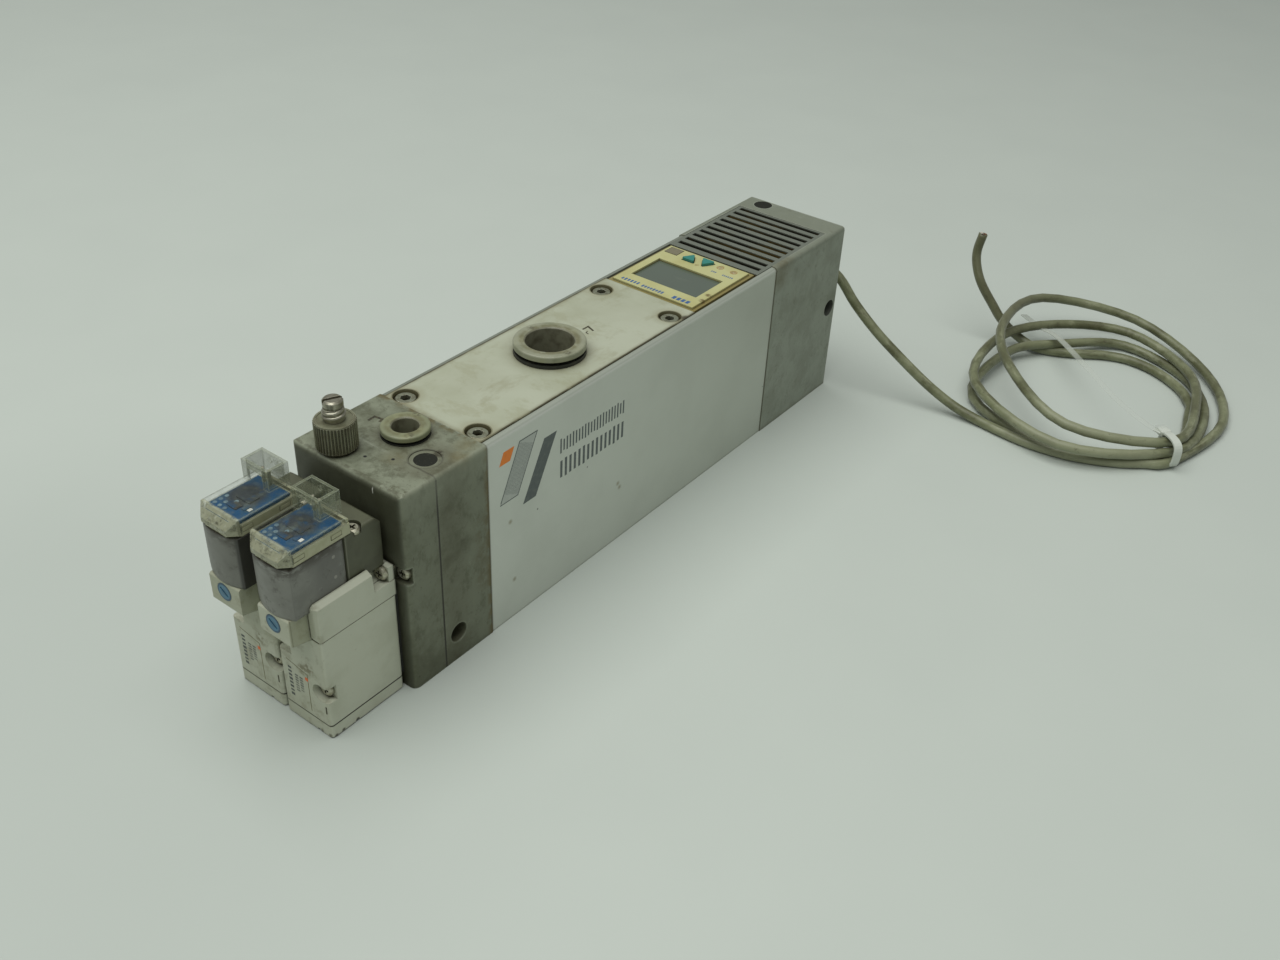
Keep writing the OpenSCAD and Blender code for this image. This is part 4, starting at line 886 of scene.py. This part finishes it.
# ------------------------------------------------------------------ sockets and grommet
# Black glass-filled plastic sockets of the two push-in ports, pressed into the metal, and the moulded
# grommet that the lead leaves through.
black = Finish("black_plastic", (34, 36, 32), rough=0.4)
black.tint((66, 64, 50), 0.45, black.patches(3, 0.48, 0.72, detail=5))
black.bump(black.noise(0.7), 0.03)
black.onto("vacuum_socket", "supply_socket", "cable_grommet")


# ------------------------------------------------------------------ blanking plugs
# Dark plugs pressed into the unused port of the block and into the corner of the rear cover, matt and
# scuffed on their faces.
dark_plug = Finish("plug_face", (40, 42, 36), rough=0.8, Specular_IOR_Level=0.15)
dark_plug.tint((28, 29, 25), 0.6, dark_plug.noise(1.2, detail=5))
dark_plug.tint((78, 78, 66), 0.5, dark_plug.patches(0.7, 0.6, 0.75, detail=3, seed=2))
dark_plug.bump(dark_plug.noise(0.7), 0.06)
dark_plug.onto("rear_plug", "blank_plug")


# ------------------------------------------------------------------ nozzle, diffusers and stage plates
# The stages inside the channel: a turned brass nozzle that blows into two flared diffusers, moulded in
# white plastic like the plates that part the chambers and hold them in line.
brass = Finish("turned_brass", (178, 148, 84), rough=0.3, metal=1.0)
brass.tint((150, 120, 66), 0.5, brass.noise(2, stretch=(1, 8, 1)))
brass.onto("nozzle")
white = Finish("white_moulding", (206, 204, 192), rough=0.5)
white.tint((184, 180, 164), 0.5, white.noise(12))
white.onto("first_diffuser", "second_diffuser", "stage_plates")


# ------------------------------------------------------------------ rubber parts
# Nitrile rubber: the flap valves on the stage plates, the lip seals under both release rings, and the
# gaskets between the valves and the plate.
rubber = Finish("nitrile_rubber", (30, 31, 29), rough=0.7)
rubber.bump(rubber.noise(0.5), 0.03)
rubber.tint((48, 48, 44), 0.5, rubber.noise(4))
rubber.onto("flap_valves", "vacuum_seal", "supply_seal", "valve_gaskets")


# ------------------------------------------------------------------ valve spools
# Ground steel spools that slide in the valve bodies, one in each, with turned grooves for their seals.
# The pilots blow them from end to end, and they stay hidden inside.
spool_steel = Finish("ground_steel", (150, 152, 154), rough=0.25, metal=1.0)
spool_steel.tint((120, 122, 124), 0.4, spool_steel.noise(2, stretch=(1, 1, 0.1)))
spool_steel.onto("left_spool", "right_spool")


# ------------------------------------------------------------------ release rings
# Moulded acetal rings of the two push-in ports, yellowed and worn smooth; pressing one frees the tube.
# The bores are painted a darker grey as painted shade, with specks of dirt in them, and the flanges carry a
# few fingermarks.
vacuum_tube_radius, supply_tube_radius = 8.1, 4.1


def release_finish(name, colour, centre, tube_radius, marks_at):
    """Worn acetal: greyer on top, yellow at the rim, painted darker in the bore and in the corners as
    shade, with dirt specks in the bore.
    """
    ring = Finish(name, colour, rough=0.42, Coat_Weight=0.1)
    ring.soften(0.3)
    ring.tint((144, 144, 100), 0.35, ring.patches(9, 0.4, 0.7, detail=3, seed=3))
    ring.tint((106, 110, 84), 0.55, ring.patches(5, 0.42, 0.7, detail=5))
    outside = ring.near([centre], tube_radius - 0.3, tube_radius + 0.3)
    mouth = ring.math("SUBTRACT", ring.near([centre], tube_radius + 1.2, tube_radius + 2.6), outside)
    ring.tint((96, 92, 58), 0.7, mouth, ring.patches(3, 0.3, 0.6, detail=5, seed=14))
    # Painted shade: the bore's walls are painted a darker grey.
    within = ring.near([centre], tube_radius + 0.1, tube_radius + 0.5)
    ring.tint((122, 122, 102), 0.85, within)
    ring.tint((70, 64, 44), 0.6, within, ring.patches(3, 0.4, 0.7, detail=5, seed=6))
    # Painted shade in the corners.
    ring.tint((84, 78, 52), 0.45, ring.corners(3))
    spots = ring.both(ring.near(marks_at, 0.5, 1.9), ring.patches(0.7, 0.4, 0.6, detail=4))
    ring.tint((78, 74, 54), 0.85, spots)
    ring.tint((86, 82, 58), 0.45, ring.patches(1.2, 0.63, 0.75, detail=6, rough=0.7, seed=2))
    ring.bump(ring.noise(1.2), 0.02)
    return ring


vacuum_marks = [
    (vacuum_at[0] - 9.6, vacuum_at[1] + 1.6, top), (vacuum_at[0] + 9.8, vacuum_at[1] - 2.8, top)
]
supply_marks = [
    (supply_at[0] + 4.9, supply_at[1] - 3.2, top), (supply_at[0] - 1.5, supply_at[1] + 6.3, top)
]
release_finish(
    "vacuum_ring_acetal", (140, 143, 122), vacuum_at, vacuum_tube_radius, vacuum_marks
).onto("vacuum_release_ring")
release_finish(
    "supply_ring_acetal", (124, 129, 101), supply_at, supply_tube_radius, supply_marks
).onto("supply_release_ring")


# ------------------------------------------------------------------ release flow needle
# Turned steel screw, nickel-plated, that throttles the release air. Its thread shows between the lock
# nut and the slotted head, with the grooves darkened partly by grease and partly as painted shade.
nut_top = box_of("lock_nut")[1].z
spindle_top = box_of("needle_spindle")[1].z
needle_radius, thread_pitch, thread_depth, head_height = 3.0, 1.45, 0.6, 3.1


def helix(name, centre, radius, ridge, low, high, pitch):
    """Thread ridge: one closed strip with a rounded crest, wound round a shaft."""
    steps = 36
    total = round((high - low) / pitch * steps)
    flank = ((-0.3, 0.48), (-0.05, 0.46), (0.6, 0.3), (0.92, 0.16))
    section = [(out, -z) for out, z in flank] + [(1, 0), *flank[::-1]]
    shaft = Vector((centre[0], centre[1], 0))
    points = []
    for i in range(total + 1):
        angle = math.tau * i / steps
        height = low + (high - low) * i / total
        taper = min(1, i / steps * 2, (total - i) / steps * 2)
        for out, z in section:
            r = radius + (out if out < 0 else out * ridge * taper)
            spoke = Vector((r * math.cos(angle), r * math.sin(angle), height + z * pitch))
            points.append((shaft + spoke) * mm)
    piece = of_faces(name, points, swept(total + 1, len(section)))
    for face in piece.data.polygons:
        face.use_smooth = len(face.vertices) == 4
    return outwards(piece)


thread_low, thread_high = nut_top + 0.2, spindle_top - head_height
thread = helix(
    "needle_thread", needle_at, needle_radius - 0.1, thread_depth, thread_low, thread_high, thread_pitch
)
nickel = Finish("nickel_plate", (168, 166, 150), rough=0.28, metal=0.85)
nickel.soften(0.15)
# Grease and painted shade in the grooves and corners.
nickel.tint((70, 66, 46), 0.85, nickel.corners(0.9))
nickel.tint((124, 120, 100), 0.5, nickel.patches(1.5, 0.4, 0.65, detail=5))
nickel.onto(thread, "needle_spindle")
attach(thread, "needle")


# ------------------------------------------------------------------ lock nut
# Turned nut with a straight knurl that holds the needle's setting. The valleys are dark, the nut is
# darker towards its foot, and handling has left the crests bright.
knurl_root, knurl_crest = 5.9, 6.12
knurl = Finish("knurled_nut", (132, 134, 110), rough=0.42, metal=0.5)
below_rim = knurl.across("Z", nut_top - 0.3, nut_top - 0.6)
valleys = knurl.both(knurl.near([needle_at], knurl_root, knurl_crest), below_rim)
knurl.tint((46, 43, 26), 0.9, valleys)
knurl.tint((86, 82, 58), 0.55, knurl.patches(4, 0.42, 0.66, detail=5))
knurl.tint((70, 64, 40), 0.45, knurl.across("Z", nut_top - 5.5, nut_top - 9.5))
knurl.tint((196, 194, 174), 0.75, knurl.edges(0.16))
knurl.onto("lock_nut")


# ------------------------------------------------------------------ vacuum switch's case
# Cream ABS case gone yellow, let into the channel behind the cover. Brown grease lines its seams and
# has caught on the rim in a few specks.
case_high = box_of("switch_case")[1]
case = Finish("switch_case", (182, 182, 130), rough=0.42, Coat_Weight=0.1)
case.soften(0.3)
case.tint((166, 159, 100), 0.5, case.patches(12, 0.4, 0.7, detail=4))
case.tint((158, 146, 84), 0.5, case.across("X", case_high.x - 2.2, case_high.x - 0.8))
case.tint((112, 98, 52), 0.75, case.across("Z", top + 0.15, top - 0.35))
# Painted shade in the corners.
case.tint((96, 84, 44), 0.6, case.corners(1.4))
specks = case.near([(17.0, 130.9, top), (16.4, 135.6, top)], 0.5, 1.6)
case.tint((92, 72, 34), 0.9, specks, case.patches(0.8, 0.35, 0.55))
scuffs = case.near([(-0.8, 153.0, top), (7.0, 158.0, top)], 0.3, 1.3)
case.tint((120, 96, 44), 0.8, scuffs, case.patches(0.8, 0.4, 0.6, seed=3))
case.bump(case.noise(0.8), 0.01)
case.onto("switch_case")


# ------------------------------------------------------------------ display window, keys and lights
# Grey-green display window, two raised teal arrow keys, a flat grey set key and two small lights, all
# moulded and let into the case over the green circuit board.
lens = Finish("display_lens", (84, 96, 84), rough=0.22, Coat_Weight=0.4)
lens.tint((76, 83, 75), 0.5, lens.noise(16, detail=2))
lens.tint((112, 118, 104), 0.3, lens.patches(5, 0.58, 0.75, detail=5, stretch=(3, 1, 1), seed=2))
lens.onto("display_window")
teal = Finish("teal_keys", (44, 128, 118), rough=0.45)
teal.tint((36, 102, 94), 0.45, teal.noise(2))
# Painted shade in the corners of the keys.
teal.tint((24, 66, 58), 0.6, teal.corners(1.5))
teal.onto("up_button", "down_button")
grey_key = Finish("grey_key", (122, 118, 96), rough=0.5)
grey_key.tint((98, 92, 70), 0.6, grey_key.noise(1.5, detail=5))
grey_key.onto("set_button")
lamp = Finish("lamp_caps", (176, 168, 132), rough=0.3)
lamp.tint((140, 96, 56), 0.8, lamp.patches(0.7, 0.42, 0.6))
lamp.onto("indicator_lights")
board_green = Finish("board_green", (58, 96, 66), rough=0.5)
board_green.tint((44, 78, 52), 0.5, board_green.noise(2))
board_green.onto("switch_board")


# ------------------------------------------------------------------ printing on the switch
# Plain blue strokes where the case is printed, and a thin orange ring round each light. The ink is a few
# hundredths of a millimetre thick and worn.
face_z, tilt = case_high.z, 0.02
light_x, light_y, light_ring = (7.1, 13.0), 156.8, 1.25
blue = ink("blue_ink", (52, 88, 138), (96, 120, 144))
rust = ink("orange_line", (150, 112, 66), (170, 140, 90))
printed_rows = {
    "print_left": ((-11.2, 126.5), tilt, (0.8, 1.9), dict(Columns=6, Pitch_X=1.35, Shortest=0.75, Seed=2)),
    "print_middle": ((-1.2, 126.3), tilt, (0.75, 1.9), dict(Columns=8, Pitch_X=1.2, Shortest=0.75, Seed=5)),
    "print_right": ((11.2, 126.4), tilt, (1.35, 2.1), dict(Columns=4, Pitch_X=1.9, Seed=3)),
    "light_print_left": ((7.1, 152.5), 0, (0.45, 1.0), dict(Columns=3, Pitch_X=0.8)),
    "light_print_right": ((13.2, 152.4), 0, (0.45, 1.0), dict(Columns=6, Pitch_X=0.8)),
}
prints = [
    marks(name, (*at, face_z), (1, slope, 0), (0, 1, 0), blue, Size=(*size, 0.03), **layout)
    for name, (at, slope, size, layout) in printed_rows.items()
]
round_light = [math.tau * k / 14 for k in range(15)]
for x in light_x:
    ring_points = [(x + light_ring * math.cos(a), light_y + light_ring * math.sin(a)) for a in round_light]
    rim = plate_of("light_rim", stroke(ring_points, 0.28), face_z, fill_height, upright)
    rust.onto(rim)
    prints.append(rim)
for piece in prints:
    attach(piece, "ejector")


# ------------------------------------------------------------------ valve bodies, plates and side covers
# Cream glass-filled nylon, one set for each of the two valves. Handling dirt sits in the seams, under
# the noses and along the lower edges, and the covers' front edges are chipped. Shade is painted in the
# inner corners, on the front faces, on the noses' right sides and over the left valve above its label.
valve_front = box_of("left_bottom_plate")[0].y
valve_low, valve_high = box_of("right_valve_body")
valve_middle = (valve_low.x + valve_high.x) / 2
cover_foot = box_of("left_side_cover")[0].z
shell = Finish("valve_moulding", (188, 192, 173), rough=0.5)
shell.soften(0.35)
shell.tint((164, 167, 144), 0.45, shell.patches(12, 0.4, 0.7, detail=4))
# Painted shade in the inner corners.
shell.tint((74, 70, 48), 0.8, shell.corners(1.3))
foot_seam = shell.line("Z", valve_low.z - 0.1, 0.42)
shell.tint((36, 34, 22), 0.85, foot_seam)
cover_seam = shell.both(shell.line("Z", cover_foot, 0.26), shell.across("X", 14, 15.2))
shell.tint((78, 74, 50), 0.55, cover_seam)
chips = [(17.6, -48.7, 1.0), (14.2, -48.7, 0.9), (18.6, -44.5, 0.8), (18.6, -39, 0.8), (18.6, -47.2, 0.6)]
shell.tint((60, 56, 40), 0.85, shell.near(chips, 0.3, 0.9, (1, 1, 1)))
low_dirt = shell.across("Y", valve_front + 3, valve_front - 0.5)
smudge = shell.both(low_dirt, shell.patches(4, 0.5, 0.64, detail=6, rough=0.7, seed=5))
shell.tint((128, 124, 98), 0.55, smudge)
shell.tint((96, 92, 66), 0.5, shell.patches(1.3, 0.63, 0.74, detail=6, rough=0.75, seed=3))
# Painted shade: the front faces are painted darker.
front_face = shell.across("Y", valve_front + 0.4, valve_front + 0.1)
shell.tint((152, 155, 132), 0.3, front_face)
fin_edge = shell.near([(15.4, -47.5, z) for z in (38.5, 41, 43.5, 46, 48.5)], 0.6, 1.9, (1, 1, 1))
shell.tint((52, 48, 32), 0.95, fin_edge, shell.patches(1.1, 0.36, 0.5, detail=5))
above_label = shell.across("Z", 25, 26.5)
# Painted shade: the left valve is painted darker above its label.
shell.tint((150, 152, 126), 0.4, shell.both(above_label, shell.across("X", 0.4, -0.4)))
nose_side = valve_middle + 6.4
nose_front = shell.across("Y", valve_front - 0.4, valve_front - 1)
# Painted shade: the right side of each nose is painted darker.
shell.tint((146, 148, 120), 0.6, shell.both(nose_front, shell.line("X", nose_side, 0.6)))
nose_edge = shell.near([(nose_side - 0.2, valve_front - 6.3, 0)], 0.12, 0.34)
shell.tint((66, 62, 40), 0.6, nose_edge, above_label)
muck_at = [(11.5, valve_front, 23.5), (9, valve_front, 21.8), (-9, valve_front, 23)]
muck = shell.near(muck_at, 0.8, 3.6, (1, 1, 1))
shell.tint((104, 98, 66), 0.8, muck, shell.patches(1.6, 0.4, 0.6, detail=5, seed=11))
at_plate = shell.across("Y", front - 1.5, front - 0.7)
shell.tint((40, 38, 24), 0.85, at_plate)
shell.bump(shell.noise(0.5), 0.02)
shell_parts = ("valve_body", "bottom_plate", "side_cover")
shell.onto(*[side + part for side in ("left_", "right_") for part in shell_parts])


# ------------------------------------------------------------------ labels on the valves
# Each valve's front carries a small printed label: a thin frame, columns of plain strokes and an orange
# square. The ink lies on the bare moulding.
frame_ink = ink("frame_ink", (98, 92, 58), (134, 130, 100))
text_ink = ink("stroke_ink", (66, 72, 70), (94, 98, 90))
square_ink = ink("square_ink", (218, 104, 48), (206, 120, 74))
label_frame = [(0.8, 22.2), (9.6, 20.6), (9.6, 6.6)]
label_square = [(8.5, 18.0), (9.7, 18.0), (9.7, 19.2), (8.5, 19.2)]
long_strokes = dict(Rows=8, Pitch_Y=1.5, Size=(1.5, 1.05, 0.03), Shortest=0.6, Seed=4)
short_strokes = dict(
    Columns=2, Rows=7, Pitch_X=2.0, Pitch_Y=1.0, Size=(1.4, 0.6, 0.03), Shortest=0.5, Kept=0.9, Seed=9
)
for x0, side in ((1.0, "right"), (-19.6, "left")):
    facing = Matrix.Translation((x0, valve_front, 0)) @ Matrix(((1, 0, 0), (0, 0, -1), (0, 1, 0))).to_4x4()
    long_at, short_at = (x0 + 1.9, valve_front, 14), (x0 + 5.6, valve_front, 14.6)
    frame_line = plate_of(side + "_label_frame", stroke(label_frame, 0.26), 0, 0.02, facing)
    square = plate_of(side + "_label_square", label_square, 0, 0.04, facing)
    frame_ink.onto(frame_line)
    square_ink.onto(square)
    labels = [
        frame_line,
        square,
        marks(side + "_label_long", long_at, (1, 0, 0), (0, 0, 1), text_ink, **long_strokes),
        marks(side + "_label_short", short_at, (1, 0, 0), (0, 0, 1), text_ink, **short_strokes),
    ]
    for piece in labels:
        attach(piece, "ejector")


# ------------------------------------------------------------------ pilot blocks
# Dark grey moulded blocks behind the solenoids, screwed down on the valve bodies. Their inner corners
# are darkened in a dirt colour as painted shade, and their front strip is painted light, as painted light
# that lifts the shade in the groove at each solenoid.
solenoid_low, solenoid_high = box_of("right_solenoid")
pilot = Finish("pilot_moulding", (80, 83, 63), rough=0.5)
pilot.soften(0.35)
pilot.tint((62, 62, 46), 0.6, pilot.patches(6, 0.4, 0.7, detail=5))
# Painted shade in the inner corners.
pilot.tint((40, 38, 26), 0.45, pilot.corners(1))
# Painted light: the front strip at the groove by the solenoid is painted light.
pilot.tint((110, 112, 94), 0.9, pilot.across("Y", solenoid_high.y + 0.7, solenoid_high.y + 0.2))
pilot.bump(pilot.noise(0.6), 0.02)
pilot.onto("left_pilot_block", "right_pilot_block")


# ------------------------------------------------------------------ solenoids
# The coils, moulded in violet-grey plastic: dirty under the lids, painted near black as shade where they
# face each other, scuffed on the front, with two round ejector-pin marks on the side. More shade is painted
# on the left coil, towards the rear and in the corners, and the rear strip at the groove is painted light.
coil = Finish("solenoid_moulding", (122, 124, 116), rough=0.42)
coil.soften(0.5)
coil.tint((92, 92, 85), 0.5, coil.patches(8, 0.4, 0.7, detail=5))
# Painted shade: darker towards the rear.
coil.tint((88, 88, 83), 0.6, coil.across("Y", solenoid_low.y + 6, solenoid_low.y + 12))
coil.tint((54, 51, 40), 0.6, coil.patches(4, 0.54, 0.68, detail=6, rough=0.75, seed=4))
coil.tint((56, 54, 46), 0.45, coil.patches(1.3, 0.58, 0.7, detail=7, rough=0.75, seed=9))
coil.tint((146, 148, 141), 0.4, coil.patches(2.2, 0.58, 0.72, detail=7, rough=0.75, seed=12))
upper_dirt = coil.across("Z", solenoid_high.z - 4, solenoid_high.z - 0.5)
runs = coil.patches(3, 0.36, 0.54, detail=5, stretch=(1, 1, 0.4), seed=7)
coil.tint((58, 54, 44), 0.85, upper_dirt, runs)
coil.tint((40, 37, 26), 0.75, coil.across("Z", solenoid_high.z - 0.5, solenoid_high.z - 0.05))
# Painted shade: the left solenoid's face towards the right one is painted near black.
inner_face = coil.line("X", box_of("left_solenoid")[1].x, 1.4)
coil.tint((24, 24, 20), 0.9, inner_face)
# Painted shade: the left solenoid is painted a little darker.
left_one = coil.across("X", solenoid_low.x - 0.2, solenoid_low.x - 0.6)
coil.tint((76, 76, 68), 0.3, left_one)
# Painted shade in the corners.
coil.tint((46, 44, 34), 0.4, coil.corners(0.7))
# Painted light: the rear strip at the groove by the pilot block is painted light.
coil.tint((128, 130, 118), 0.9, coil.across("Y", solenoid_high.y - 0.7, solenoid_high.y - 0.2))
coil.bump(coil.noise(0.6), 0.015)
coil.onto("left_solenoid", "right_solenoid")
pins_y, pins_z, pin_pitch, pin_width = -39.1, 57, 6.9, 1.1
pin_mark = Finish("ejector_pin_marks", (146, 146, 138), rough=0.5)
pin_mark.tint((112, 110, 100), 0.5, pin_mark.noise(0.8, detail=4))
for side in ("left", "right"):
    pins_at = (box_of(side + "_solenoid")[1].x, pins_y, pins_z)
    marked = marks(
        side + "_pin_marks", pins_at, (0, 1, 0), (0, 0, 1), pin_mark,
        Rows=2, Pitch_Y=pin_pitch, Size=(pin_width, pin_width, 0.05), Round=True,
    )
    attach(marked, "ejector")


# ------------------------------------------------------------------ connector trays
# Pale yellow-green trays on top of the solenoids that hold the circuit boards, moulded and clipped on,
# with their corners darkened in a dirt colour as painted shade.
tray = Finish("connector_tray", (168, 170, 140), rough=0.5)
tray.soften(0.25)
tray.tint((154, 155, 122), 0.6, tray.patches(3, 0.4, 0.65, detail=5))
# Painted shade in the corners.
tray.tint((92, 88, 60), 0.5, tray.corners(0.6))
tray.onto("left_connector_base", "right_connector_base")


# ------------------------------------------------------------------ circuit boards under the lids
# Blue fibreglass boards with rows of round pads, a black driver chip and a small white block that stands
# for a painted glint. The tray's two latch tabs hold each lid down on its side.
board_low, board_high = box_of("right_circuit_board")
board_top = board_high.z - 0.25
valve_centres = [centre_of(side + "circuit_board").x for side in ("left_", "right_")]
blue_board = Finish("blue_board", (14, 70, 108), rough=0.6, Specular_IOR_Level=0.2)
blue_board.tint((42, 78, 96), 0.6, blue_board.patches(3, 0.42, 0.66, detail=5))
middle = blue_board.near([(x - 1.4, board_low.y + 11, board_top) for x in valve_centres], 3.8, 7.5)
blue_board.tint((50, 52, 50), 0.9, middle, blue_board.patches(2.6, 0.2, 0.5, detail=5, seed=3))
blue_board.tint((92, 104, 100), 0.55, blue_board.patches(4, 0.54, 0.7, detail=5, seed=6))
blue_board.onto("left_circuit_board", "right_circuit_board")
pad_metal = Finish("board_pads", (112, 136, 142), rough=0.5)
pad_metal.tint((72, 100, 116), 0.8, pad_metal.patches(1.4, 0.35, 0.6, detail=3))
chip_black = Finish("driver_chip", (30, 34, 36), rough=0.6)
chip_black.tint((58, 60, 58), 0.6, chip_black.patches(1, 0.4, 0.6))
# Painted highlight: a small white block on each board stands for a glint.
glint_white = Finish("painted_glint", (222, 224, 214), rough=0.3)
glint_white.tint((180, 184, 176), 0.5, glint_white.noise(0.8))
part_height, pad_thickness = 0.24, 0.1
tab_near, tab_far, tab_low, tab_high, tab_length = 6.75, 7.3, 65.75, 67.05, 3.5
tab_starts = (-51.55, -38.75)
for x0, side in zip(valve_centres, ("left", "right")):
    chip_low = Vector((x0 - 1.2, board_low.y + 4.6, board_top))
    chip = block(side + "_driver_chip", chip_low, chip_low + Vector((3, 2.6, part_height)), 0.06)
    # The white block of the painted glint.
    glint_low = Vector((x0 + 4.2, board_low.y + 6.4, board_top))
    glint_block = block(side + "_painted_glint", glint_low, glint_low + Vector((1.1, 1.4, part_height)), 0.06)
    both_tabs = [
        block("tab", (x0 + tab_near, y, tab_low), (x0 + tab_far, y + tab_length, tab_high), 0.12)
        for y in tab_starts
    ]
    tabs = merged(side + "_latch_tabs", both_tabs)
    pads_at = (x0 - 2.2, board_low.y + 4.4, board_top + pad_thickness / 2)
    pads = marks(
        side + "_board_pads", pads_at, (1, 0, 0), (0, 1, 0), pad_metal,
        Columns=4, Rows=4, Pitch_X=2.1, Pitch_Y=2.0, Size=(1.25, 1.25, pad_thickness), Kept=0.62,
        Round=True, Seed=11,
    )
    chip_black.onto(chip)
    glint_white.onto(glint_block)
    tray.onto(tabs)
    for piece in (chip, glint_block, pads):
        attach(piece, "ejector")
    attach(tabs, "ejector")


# ------------------------------------------------------------------ clear lids
# Clear polycarbonate lids, one moulding each. Faces let the board show, edges and scratches catch the
# light, crumbs of dirt lie behind the visor, and the plug socket on top has gone grey.
lid_step = 70.3
clear = Finish("clear_lid", (128, 134, 116), rough=0.16)
see = clear.edges(0.35)
socket_part = clear.across("Z", lid_step, lid_step + 0.3)
veil = clear.math("MULTIPLY", clear.patches(3, 0.46, 0.7, detail=6, rough=0.7), 0.14)
visor = clear.across("Y", board_low.y + 1.9, board_low.y + 1.1)
crumbs = clear.both(visor, clear.patches(2.4, 0.22, 0.56, detail=5, rough=0.65, seed=5))
tinted = clear.math("ADD", clear.math("MULTIPLY", socket_part, 0.3), 0.03)
milky_rim = clear.math("MULTIPLY", clear.edges(1.3), 0.36)
haze = clear.math("MAXIMUM", milky_rim, clear.math("MULTIPLY", see, 0.75))
haze = clear.math("MAXIMUM", haze, clear.math("ADD", veil, tinted))
haze = clear.math("MAXIMUM", haze, clear.math("MULTIPLY", crumbs, 0.82))
clear.links.new(haze, clear.skin.inputs["Alpha"])
clear.tint((160, 162, 136), 0.9, visor)
clear.tint((142, 149, 124), 0.9, socket_part)
clear.tint((190, 194, 176), 0.6, visor, clear.patches(1.5, 0.55, 0.68, detail=5, seed=21))
clear.tint((172, 180, 162), 0.8, see, clear.patches(2.5, 0.4, 0.55, seed=8))
clear.tint((98, 94, 66), 0.6, clear.patches(1.8, 0.6, 0.72, detail=6, rough=0.7, seed=2))
clear.onto("left_clear_hood", "right_clear_hood")


# ------------------------------------------------------------------ manual overrides
# Blue acetal buttons in the noses, with a darker ring painted as shade where they meet the bore, and a
# shallow dish in the middle, painted darker as its shade. Each is pushed in to work its valve by hand.
push_blue = Finish("override_blue", (74, 126, 152), rough=0.42)
push_blue.tint((50, 86, 104), 0.6, push_blue.noise(1.2, detail=5))
override_front = box_of("left_override")[0].y
middles = [centre_of(side + "override") for side in ("left_", "right_")]
faces = [(middle.x, override_front, middle.z) for middle in middles]
# Painted shade: a darker ring where the button meets the bore, and a darker middle.
outer_ring = push_blue.math("SUBTRACT", 1.0, push_blue.near(faces, 2.15, 2.45, (1, 1, 1)))
push_blue.tint((36, 66, 92), 0.8, outer_ring)
push_blue.tint((42, 74, 98), 0.45, push_blue.near(faces, 0.9, 1.5, (1, 1, 1)))
push_blue.onto("left_override", "right_override")


# ------------------------------------------------------------------ valve screws and plug pins
# Nickel-plated pan-head screws that hold the valves and their pilot blocks, with dirt and painted shade in
# the crosses, and the two bright contact pins in each plug socket.
bright_screws = Finish("pan_head_screws", (184, 182, 162), rough=0.32, metal=0.7)
bright_screws.soften(0.2)
# Painted shade in the crosses and corners, in a dirt colour.
bright_screws.tint((44, 38, 22), 0.85, bright_screws.corners(1.1))
bright_screws.tint((120, 114, 84), 0.55, bright_screws.patches(0.9, 0.48, 0.66, detail=4))
bright_screws.onto("pan_screws", "pilot_screws", "plug_pins")
